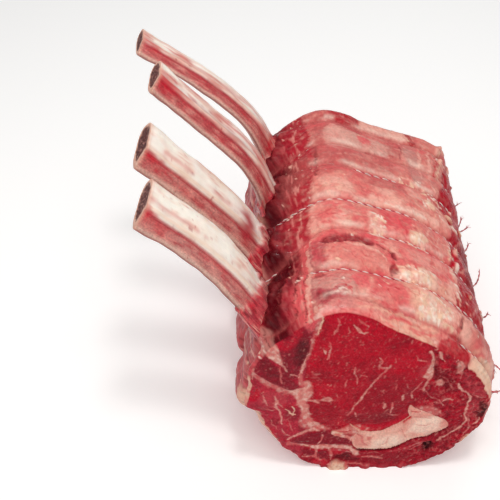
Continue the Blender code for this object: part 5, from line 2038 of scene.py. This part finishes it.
    def _sleeve(self, s: Array, uneven: Array) -> Array:
        """How much flesh still covers the bone, from 1 at the roll to 0 where it is scraped bare."""
        return 1.0 - ramp(-0.016, 0.016, s - self.plan.bare_from - 0.03 * uneven)

    def _paint(self, q: Array, p: Array, s: Array, flat: Array, sleeve: Array) -> Paint:
        """Colours the bone along and round it.

        Args:
            q: places across the width, from -1 to 1.
            p: places through the thickness.
            s: shares of the length.
            flat: the surface unrolled, for noise.
            sleeve: how much flesh covers it.

        Returns:
            Its paint.
        """
        q, p, s = q.ravel(), p.ravel(), s.ravel()
        paint = Paint(flat[:, :2], T.BONE_CREAM, self.grain)
        broad = 1.0 - ramp(-0.45, 0.1, p)
        front = 1.0 - ramp(self.chamfer_from - 0.15, self.chamfer_from - 0.09, q)
        front *= 1.0 - ramp(0.4, 0.9, p)
        streak = self._noise(flat, 77.0, 46.0, 3.4)
        fine = self.grain.layered(flat + 177.0, (16.0, 1.1, 1.0), 3)
        cloud = self._noise(flat, 277.0, 22.0, 9.0)
        paint.tint(T.BONE_WARM, 0.2 + 0.9 * cloud)
        thin = self._noise(flat, 577.0, 34.0, 1.5)
        middle = q - self.chamfer_from - 0.26 - 0.2 * cloud - 0.10 * ramp(0.6, 0.9, s)
        paint.tint(T.BONE_PINK, 0.55 * broad * bell(middle, 0.12) * ramp(-0.2, 0.4, streak + cloud))
        paint.tint(T.BONE_RED, 0.6 * broad * bell(middle, 0.035) * ramp(0.0, 0.3, thin + 0.6 * cloud))
        paint.tint(T.BONE_PINK, 0.4 * ramp(0.3, 0.5, thin) * broad * ramp(-0.3, 0.6, cloud))
        paint.tint(T.BONE_PINK, 0.5 * ramp(0.75, 1.0, q) * ramp(-0.4, 0.4, cloud))
        paint.tint(T.BONE_WARM, 0.9 * bell(q - self.chamfer_from - 0.02, 0.1) * broad)
        paint.tint(T.BONE_PINK, 0.8 * self.plan.redness * ramp(-0.5, 0.5, streak + 0.3 * cloud))
        paint.tint(T.BONE_RED, 0.9 * self.plan.redness * ramp(0.1, 0.5, -streak) * ramp(-0.5, 0.6, -q))
        paint.tint(T.FRESH_RED, 0.6 * self.plan.redness * ramp(0.2, 0.5, thin + 0.3 * cloud))
        paint.tint(T.BONE_BAND, 0.95 * front)
        paint.tint(T.BONE_RED, 0.6 * self.plan.redness * front)
        scraps = self._noise(flat, 677.0, 12.0, 3.2)
        paint.tint(T.SKIN_GREY, 0.6 * front * ramp(0.0, 0.6, cloud) * (1.0 - self.plan.redness))
        paint.tint(T.SEAM_PALE, 0.55 * front * ramp(0.2, 0.5, scraps + 0.3 * fine))
        paint.tint(T.BONE_RED, 0.6 * front * ramp(0.15, 0.5, -scraps - 0.3 * fine))
        paint.tint(T.FRESH_RED, 0.5 * front * ramp(0.1, 0.5, -cloud) * ramp(-0.3, 0.3, thin))
        paint.tint(T.BONE_UNDER, 0.75 * front * ramp(-0.82, -0.97, q))
        paint.tint(T.BONE_RED, 0.9 * bell(q - self.chamfer_from + 0.16, 0.05) * (1.0 - ramp(0.0, 0.4, p)))
        paint.tint(T.BONE_WARM, 0.5 * front * bell(q + 0.9, 0.07))
        paint.tint(T.BONE_UNDER, ramp(0.55, 0.9, p) * (0.6 + 0.35 * ramp(-0.4, 0.6, -cloud)))
        corner = ramp(0.85, 0.97, s) * bell(q - self.chamfer_from + 0.12, 0.26)
        paint.tint(T.FRESH_RED, 0.85 * corner * ramp(-0.4, 0.2, cloud + 0.3 * fine + 0.1))
        paint.tint(T.SAWN_RIM, 0.5 * ramp(0.985, 1.0, s))
        if self.plan.stain:
            stain = bell(s - self.plan.stain - 0.03 * streak - 0.02 * q, 0.035) * broad
            paint.tint(T.BONE_RED, 0.9 * stain * (1.0 - ramp(0.2, 0.7, q)))
        specks = self.grain.layered(flat + 377.0 + self.plan.y, (3.2, 1.6, 1.0), 2)
        paint.tint(T.BONE_RED, 0.6 * ramp(0.62, 0.85, specks) * (0.4 + 0.6 * ramp(-0.2, 0.5, cloud)))
        paint.tint(T.RIB_SIDE, 0.9 * sleeve)
        paint.tint(T.STRAND, 0.8 * sleeve * ramp(-0.3, 0.45, streak + 0.4 * fine))
        paint.tint(T.SKIN_BLUSH, 0.7 * sleeve * ramp(0.15, 0.6, fine + 0.4 * cloud))
        paint.tint(T.VALLEY_SHADE_AND_DARK_FIBRE, 0.6 * sleeve * ramp(0.2, 0.7, -fine - 0.3 * streak))
        edge = bell(s - self.plan.bare_from - 0.03 * cloud, 0.02)
        paint.tint(T.FRESH_RED, 0.8 * edge * ramp(-0.3, 0.5, streak))
        paint.fat = np.clip(front + 0.8 * sleeve + 0.5 * ramp(0.3, 0.8, p), 0.0, 1.0)
        paint.wet = np.clip(0.45 + 0.4 * cloud + 0.4 * sleeve, 0.0, 1.0)
        paint.fibre = np.column_stack([s * 12.0, q * 18.5, p * 8.3 + self.plan.y])
        return paint

    def _end(self, ring: Array, paint: Paint, station: int, side: float) -> Looks:
        """The sawn end: a pale rim of hard bone round dark spongy marrow.

        Args:
            ring: the bone's last ring.
            paint: the bone's paint.
            station: the ring's number.
            side: 1 at the tip, -1 at the foot.

        Returns:
            Places, colours and wetness of the end's rings, outermost first, with the middle last.
        """
        middle = ring.mean(axis=0)
        shares = np.linspace(1.0, 0.0, self.sawn_rings + 1)[1:-1]
        edge_colour = paint.colour[station * self.sides : (station + 1) * self.sides]
        u = (ring[0] + ring[-1]) / 2 - middle
        u /= np.linalg.norm(u)
        v = (ring[self.sides // 4] + ring[self.sides // 4 - 1]) / 2 - middle
        normal = np.cross(u, v)
        normal *= side / np.linalg.norm(normal)
        shift = ring - middle
        places = np.vstack([middle + shift * share for share in shares] + [middle[None]])
        share = np.append(np.repeat(shares, self.sides), 0.0)
        depth_noise = self.grain.layered(places + 400.0, 1.6, 2)
        cells = self.grain.at(places + 700.0, 1.1)
        across = np.append(np.tile(np.cos(2 * np.pi * np.arange(self.sides) / self.sides), len(shares)), 0.0)
        inner = 1.0 - ramp(0.70, 0.77, share * (1.0 - 0.12 * across) + 0.06 * depth_noise)
        hollow = 0.9 * inner * (0.5 + 0.5 * depth_noise)
        places = places + normal[None] * (0.35 * ramp(1.0, 0.9, share) - hollow)[:, None]
        marrow = Paint(np.column_stack([share, share]), T.SAWN_RIM, self.grain)
        marrow.tint(T.BONE_WARM, 0.5 * ramp(-0.2, 0.7, depth_noise))
        marrow.tint(T.MARROW, 0.97 * inner)
        marrow.tint(T.MARROW_LIGHT, 0.85 * inner * ramp(0.15, 0.5, cells))
        marrow.tint(T.SHADOW_AND_PIT_BLACK, 0.7 * inner * ramp(0.15, 0.5, -cells))
        blend = ramp(0.88, 1.0, share)[:-1, None]
        marrow.colour[:-1] += (np.tile(edge_colour, (len(shares), 1)) - marrow.colour[:-1]) * blend * 0.6
        edge = paint.fibre[station * self.sides : (station + 1) * self.sides]
        fibre = np.vstack([edge * part for part in shares] + [np.zeros((1, 3))])
        return {"places": places, "colour": marrow.colour, "wet": np.full(len(places), 0.35), "fibre": fibre}

    def _finish(self, body: Array, paint: Paint, foot: Looks, tip: Looks) -> None:
        """Joins the shaft and its two ends into one closed piece.

        Args:
            body: places of the shaft, ring by ring.
            paint: the shaft's paint.
            foot: the rings of the sawn foot, as _end gives them.
            tip: those of the tip.
        """
        sides, last = self.sides, (self.stations - 1) * self.sides
        shaft = {"places": body.reshape(-1, 3)}
        shaft |= {key: getattr(paint, key) for key in ("colour", "wet", "fibre")}
        whole = [np.concatenate([part[key] for part in (shaft, foot, tip)]) for key in shaft]
        places, colour, wet, fibre = whole
        ring = [(i, (i + 1) % sides) for i in range(sides)]
        quads = [(i, j, sides + j, sides + i) for i, j in ring]
        faces = [[k + corner for corner in quad] for k in range(0, last, sides) for quad in quads]
        start = last + sides
        for outer in (0, last):
            for inner in range(start, start + (self.sawn_rings - 1) * sides, sides):
                faces += [[outer + i, outer + j, inner + j, inner + i] for i, j in ring]
                outer = inner
            middle = start + (self.sawn_rings - 1) * sides
            faces += [[outer + i, outer + j, middle] for i, j in ring]
            start = middle + 1
        band = np.concatenate([paint.fat, np.zeros(len(places) - len(paint.fat))])
        name = f"{self.plan.node}_bone"
        looks = {"tone": colour, "wet": wet, "fibre": fibre, "band": band}
        mesh = mesh_of(name, self.layout.metres(places), faces, looks)
        finished(name, mesh, self.material, self.plan.node)


# ---------------------------------------------------------------- twine
class TwineMaker(NodeSheet):
    """Lays two plies round a line and adds loose fibres, as a tree of geometry nodes."""

    sizes = (
        ("Twine Radius", "NodeSocketFloat", 0.9 * MM),
        ("Lay Length", "NodeSocketFloat", 8.4 * MM),
        ("Step", "NodeSocketFloat", 0.55 * MM),
        ("Fuzz Count", "NodeSocketInt", 90),
        ("Fuzz Length", "NodeSocketFloat", 1.1 * MM),
        ("Seed", "NodeSocketInt", 5),
    )
    ply_widths = (0.62, 0.54)
    ply_offset = 0.46
    tie_area = 0.0011  # square metres of one ply of a tie, which the fuzz is spread over

    def __init__(self, material: bpy.types.Material) -> None:
        """Builds the tree once for all ties.

        Args:
            material: the twine's finish.
        """
        super().__init__(bpy.data.node_groups.new("twisted twine", "GeometryNodeTree"))
        self.material = material
        face = self.tree.interface
        face.new_socket("Geometry", in_out="INPUT", socket_type="NodeSocketGeometry")
        self.inputs = {}
        for name, kind, value in self.sizes:
            socket = face.new_socket(name, in_out="INPUT", socket_type=kind)
            socket.default_value = value
            self.inputs[name] = socket.identifier
        face.new_socket("Geometry", in_out="OUTPUT", socket_type="NodeSocketGeometry")
        self.source = self.add("NodeGroupInput").outputs
        self._plies()

    def _plies(self) -> None:
        """The tree: resample, wind each ply round the line, sweep it, add fuzz, join and realize."""
        source = self.source
        line = self.add("GeometryNodeResampleCurve", mode="LENGTH")
        feed(line, Curve=source["Geometry"], Length=source["Step"])
        tangent = self.add("GeometryNodeInputTangent").outputs[0]
        normal = self.add("GeometryNodeInputNormal").outputs[0]
        cross = feed(self.add("ShaderNodeVectorMath", operation="CROSS_PRODUCT"), tangent, normal).outputs[0]
        run = self.add("GeometryNodeSplineParameter").outputs["Length"]
        turns = self.maths("DIVIDE", run, source["Lay Length"])
        profile = self.add("GeometryNodeCurvePrimitiveCircle")
        feed(profile, Resolution=6, Radius=source["Twine Radius"])
        thinned = self.add("GeometryNodeInputRadius").outputs[0]
        offset = self.times(self.times(source["Twine Radius"], self.ply_offset), thinned)
        join = self.add("GeometryNodeJoinGeometry")
        for ply, width in enumerate(self.ply_widths):
            angle = self.maths("MULTIPLY_ADD", turns, 2 * math.pi, ply * math.pi)
            sideways = self.scaled(normal, self.times(self.maths("COSINE", angle), offset))
            upwards = self.scaled(cross, self.times(self.maths("SINE", angle), offset))
            total = feed(self.add("ShaderNodeVectorMath", operation="ADD"), sideways, upwards).outputs[0]
            moved = feed(self.add("GeometryNodeSetPosition"), Geometry=line.outputs["Curve"], Offset=total)
            sweep = self.add("GeometryNodeCurveToMesh")
            feed(sweep, Curve=moved.outputs["Geometry"], Profile_Curve=profile.outputs["Curve"])
            feed(sweep, Fill_Caps=True, Scale=self.times(thinned, width))
            store = self.add("GeometryNodeStoreNamedAttribute", data_type="FLOAT", domain="POINT")
            feed(store, Geometry=sweep.outputs["Mesh"], Name="ply")
            value = next(socket for socket in store.inputs if socket.name == "Value" and socket.enabled)
            value.default_value = float(ply)
            feed(join, store.outputs["Geometry"])
            if ply == 0:
                feed(join, self._fuzz(store.outputs["Geometry"]))
        realize = feed(self.add("GeometryNodeRealizeInstances"), join.outputs["Geometry"])
        finish = self.add("GeometryNodeSetMaterial")
        feed(finish, realize.outputs["Geometry"], Material=self.material)
        feed(self.add("NodeGroupOutput"), finish.outputs["Geometry"])

    def _fuzz(self, ply: Socket) -> Socket:
        """Loose cotton fibres that stand off the twine.

        Args:
            ply: the surface that they grow from.

        Returns:
            The fibres, as instances.
        """
        source = self.source
        scatter = self.add("GeometryNodeDistributePointsOnFaces")
        density = self.maths("DIVIDE", source["Fuzz Count"], self.tie_area)
        feed(scatter, Mesh=ply, Density=density, Seed=source["Seed"])
        hair = feed(self.add("GeometryNodeMeshCone"), Depth=source["Fuzz Length"])
        feed(hair, Vertices=3, Radius_Top=0.00001, Radius_Bottom=0.00006)
        lean = self.add("FunctionNodeRandomValue", data_type="FLOAT_VECTOR")
        feed(lean, (-1.2, -1.2, -3.0), (1.2, 1.2, 3.0), Seed=source["Seed"])
        turn = self.add("FunctionNodeRotateRotation", rotation_space="LOCAL")
        feed(turn, Rotation=scatter.outputs["Rotation"], Rotate_By=lean.outputs[0])
        place = feed(self.add("GeometryNodeInstanceOnPoints"), Points=scatter.outputs["Points"])
        feed(place, Instance=hair.outputs["Mesh"], Rotation=turn.outputs[0])
        return place.outputs["Instances"]

    def twist(self, name: str, lines: Sequence[tuple[Array, Array]], seed: int) -> bpy.types.Mesh:
        """Twists twine along lines.

        Args:
            name: the mesh's name.
            lines: rows of metres for each length of twine, with how thick it is there.
            seed: for its fuzz.

        Returns:
            The plain mesh.
        """
        curve = bpy.data.curves.new(name, "CURVE")
        curve.dimensions = "3D"
        for line, thickness in lines:
            points = curve.splines.new("POLY").points
            points.add(len(line) - 1)
            points.foreach_set("co", np.column_stack([line, np.ones(len(line))]).astype(np.float32).ravel())
            points.foreach_set("radius", thickness.astype(np.float32))
        holder = placed(f"{name} line", curve)
        modifier = holder.modifiers.new("twist", "NODES")
        modifier.node_group = self.tree
        modifier[self.inputs["Seed"]] = seed
        bpy.context.view_layer.update()
        shaped = holder.evaluated_get(bpy.context.evaluated_depsgraph_get())
        mesh = bpy.data.meshes.new_from_object(shaped)
        mesh.name = name
        holder.modifiers.remove(modifier)
        bpy.data.objects.remove(holder)
        mesh.shade_smooth()
        return mesh


@dataclass
class Tie:
    """One loop of twine round the roll, with its knot and two frayed tails on the right side.

    The number counts from 1 at the front. Each tail is given by places out from the roll, along it and up.
    """

    number: int
    tails: Sequence[Line]
    layout: Layout
    shape: RollShape
    maker: TwineMaker
    knot_place: Place = (187.0, 74.0)
    knot_height: float = 1.9
    loop_points: int = 560
    radius: float = 0.9
    fray: int = 6

    def build(self) -> None:
        """Makes the tie."""
        start = float(self.shape.run_at(np.array([self.knot_place]))[0])
        run = start + np.linspace(0.0, self.shape.round, self.loop_points)
        tie = self.number - 1
        y = self.shape.tie_y(tie, run)
        loop = self.shape.swollen(run, y, -self.shape.twine_depth + np.zeros(len(run)))
        loop[:, 2] = np.maximum(loop[:, 2], self.radius + 0.4)
        out2 = self.shape.outward(np.array([start]))[0]
        out = np.array([out2[0], 0.0, out2[1]])
        up = np.array([-out2[1], 0.0, out2[0]])
        along = np.array([0.0, 1.0, 0.0])
        centre = loop[0] + out * self.knot_height
        draw = np.random.default_rng(300 + self.number)
        knot = self._knot(centre, out, up, along)
        lines = [(loop, np.ones(len(loop))), (knot, np.ones(len(knot)))]
        for side, tail in zip((-1.0, 1.0), self.tails):
            points = [centre + along * side * 0.6]
            points += [centre + out * o + along * a + up * u for o, a, u in tail]
            line = smooth_line(points, step=0.5)
            lines.append((line, np.linspace(1.0, 0.75, len(line))))
            lines += self._frayed(line, draw)
        name = f"tie_{self.number}_twine"
        lines = [(self.layout.metres(line), thick) for line, thick in lines]
        mesh = self.maker.twist(name, lines, 10 + self.number)
        self._soak(mesh, self.layout.metres(centre[None])[0], out)
        finished(name, mesh, self.maker.material, f"tie_{self.number}")

    def _frayed(self, line: Array, draw: np.random.Generator) -> list[tuple[Array, Array]]:
        """Loose yarns that spread from a tail's cut end.

        Args:
            line: the tail's places.
            draw: the source of chance.

        Returns:
            For each yarn, its places and how thick it is.
        """
        way = line[-1] - line[-4]
        way /= np.linalg.norm(way)
        yarns = []
        for _ in range(self.fray):
            root = line[-1 - int(draw.integers(6))]
            bend = draw.normal(size=3)
            reach = 2.2 + 2.6 * draw.random()
            points = [root, root + way * reach * 0.5 + bend * 0.35, root + way * reach + bend * 1.3]
            yarn = smooth_line(points, step=0.4)
            yarns.append((yarn, np.linspace(0.5, 0.16, len(yarn))))
        return yarns

    def _soak(self, mesh: bpy.types.Mesh, centre: Array, out: Array) -> None:
        """Both plies of the tails have taken up red juice.

        Args:
            mesh: the tie's mesh.
            centre: the knot, in metres.
            out: the direction out of the roll.
        """
        places = np.empty(len(mesh.vertices) * 3, np.float32)
        mesh.vertices.foreach_get("co", places)
        away = (places.reshape(-1, 3) - centre) @ out / MM
        ply = np.empty(len(mesh.vertices), np.float32)
        layer = mesh.attributes["ply"].data
        layer.foreach_get("value", ply)
        layer.foreach_set("value", np.maximum(ply, 0.5 * ramp(0.5, 3.0, away)).astype(np.float32))
        places[2::3] = np.maximum(places[2::3], 0.0)
        mesh.vertices.foreach_set("co", places)

    def _knot(self, centre: Array, out: Array, up: Array, along: Array) -> Array:
        """A small overhand knot, as a trefoil pulled tight.

        Args:
            centre: its middle.
            out: the direction out of the roll.
            up: the way up the section.
            along: along the roll.

        Returns:
            The places of its line.
        """
        t = np.linspace(0.0, 2 * np.pi, 60)
        a = np.sin(t) + 2 * np.sin(2 * t)
        b = np.cos(t) - 2 * np.cos(2 * t)
        c = -np.sin(3 * t)
        return centre + 0.62 * a[:, None] * up + 0.74 * b[:, None] * along + 0.9 * c[:, None] * out


TAILS = (
    (((7, -2, 4), (11, -3, 8), (14, -1, 11)), ((5, 2, -2), (7, 5, -5), (8, 7, -9))),
    (((6, -3, -2), (10, -6, -4), (15, -8, -8)), ((5, 2, -4), (8, 3, -9), (9, 2, -15))),
    (((5, -2, 3), (7, -4, 6), (8, -5, 10)), ((4, 2, -3), (6, 4, -7), (6, 6, -11))),
    (((6, -1, 5), (8, -1, 11), (9, 1, 17)), ((5, 2, -3), (6, 4, -8), (7, 5, -12))),
    (((5, -1, 4), (7, -1, 8), (8, 0, 12)), ((4, 2, -3), (6, 5, -5), (6, 8, -8))),
    (((5, -2, 2), (9, -3, 5), (12, -3, 8)), ((5, 2, 3), (7, 4, 7), (8, 5, 11))),
    (((5, -2, 3), (8, -3, 6), (10, -4, 9)), ((4, 2, -3), (6, 4, -6), (7, 5, -10))),
)


# ---------------------------------------------------------------- the room
@dataclass
class Studio:
    """A pale floor, soft lights and the camera."""

    layout: Layout
    camera_place: Place = (0.0, -405.0, 607.0)
    pitch_down: float = 42.0
    lens: float = 61.2
    room_light: float = 0.3
    lamps: tuple[tuple[str, Place, float, float, Place], ...] = (  # place, size, power and colour
        ("key", (-0.15, -0.55, 1.45), 1.4, 12.0, (1.0, 0.985, 0.96)),
        ("glint", (0.12, -0.25, 1.5), 0.2, 4.5, (1.0, 0.99, 0.97)),
        ("back", (0.3, 0.9, 1.25), 0.9, 3.0, (1.0, 1.0, 1.0)),
    )
    lit: Place = (0.0, 0.0, 0.1)

    def build(self) -> None:
        """Makes the floor, the lights and the camera."""
        self._floor()
        for name, place, size, power, colour in self.lamps:
            data = bpy.data.lights.new(name, "AREA")
            data.size, data.energy, data.color = size, power, colour
            lamp = placed(name, data)
            lamp.location = place
            lamp.rotation_euler = (Vector(self.lit) - Vector(place)).to_track_quat("-Z", "Y").to_euler()
        world = bpy.data.worlds.new("soft room")
        world.use_nodes = True
        feed(world.node_tree.nodes["Background"], Color=(1.0, 0.99, 0.98, 1.0), Strength=self.room_light)
        bpy.context.scene.world = world
        bpy.context.scene.view_settings.view_transform = "Standard"
        self._camera()

    def _floor(self) -> None:
        """A wide pale board."""
        bpy.ops.mesh.primitive_plane_add(size=8.0)
        floor = bpy.context.object
        floor.name = "studio_floor"
        sheet = MaterialSheet("pale floor")
        feed(sheet.shader, Base_Color=(0.94, 0.94, 0.94, 1.0), Roughness=0.9, Specular_IOR_Level=0.1)
        feed(sheet.shader, Emission_Color=(1.0, 1.0, 1.0, 1.0), Emission_Strength=0.2)
        floor.data.materials.append(sheet.material)

    def _camera(self) -> None:
        """The camera, above and before the cut face."""
        data = bpy.data.cameras.new("view")
        data.lens, data.sensor_width = self.lens, 36.0
        camera = placed("view", data)
        camera.location = self.layout.metres(np.array([self.camera_place]))[0]
        camera.rotation_euler = (math.radians(90.0 - self.pitch_down), 0.0, 0.0)
        bpy.context.scene.camera = camera


# ---------------------------------------------------------------- the whole
def corners(bounds: object) -> list[list[float]]:
    """A box's two corners as plain lists."""
    return [[float(v) for v in corner] for corner in bounds]


def main() -> None:
    """Builds the roast around the frame."""
    logging.basicConfig(level=logging.INFO, format="%(name)s %(message)s")
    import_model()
    layout = Layout()
    Studio(layout).build()
    shape = RollShape(Grain(11))

    lean = FleshFinish("moist lean meat").material()
    dark_lean = FleshFinish("moist dark lean", coat=0.1).material()
    fat = FleshFinish("firm fat", subsurface=0.2, contrast=0.3, lobule=0.011).material()
    finishes = {Region.EYE: lean, Region.CAP: lean, Region.RIB_SIDE: dark_lean, Region.FAT: fat}
    Roll(layout, shape, finishes).build()

    bone = BoneFinish("scraped bone").material()
    for number, plan in enumerate(RIBS):
        RibBone(plan, layout, bone, Grain(60 + number)).build()

    maker = TwineMaker(TwineFinish("striped twine").material())
    for number, tails in enumerate(TAILS, start=1):
        Tie(number, tails, layout, shape, maker).build()


if __name__ == "__main__":
    main()
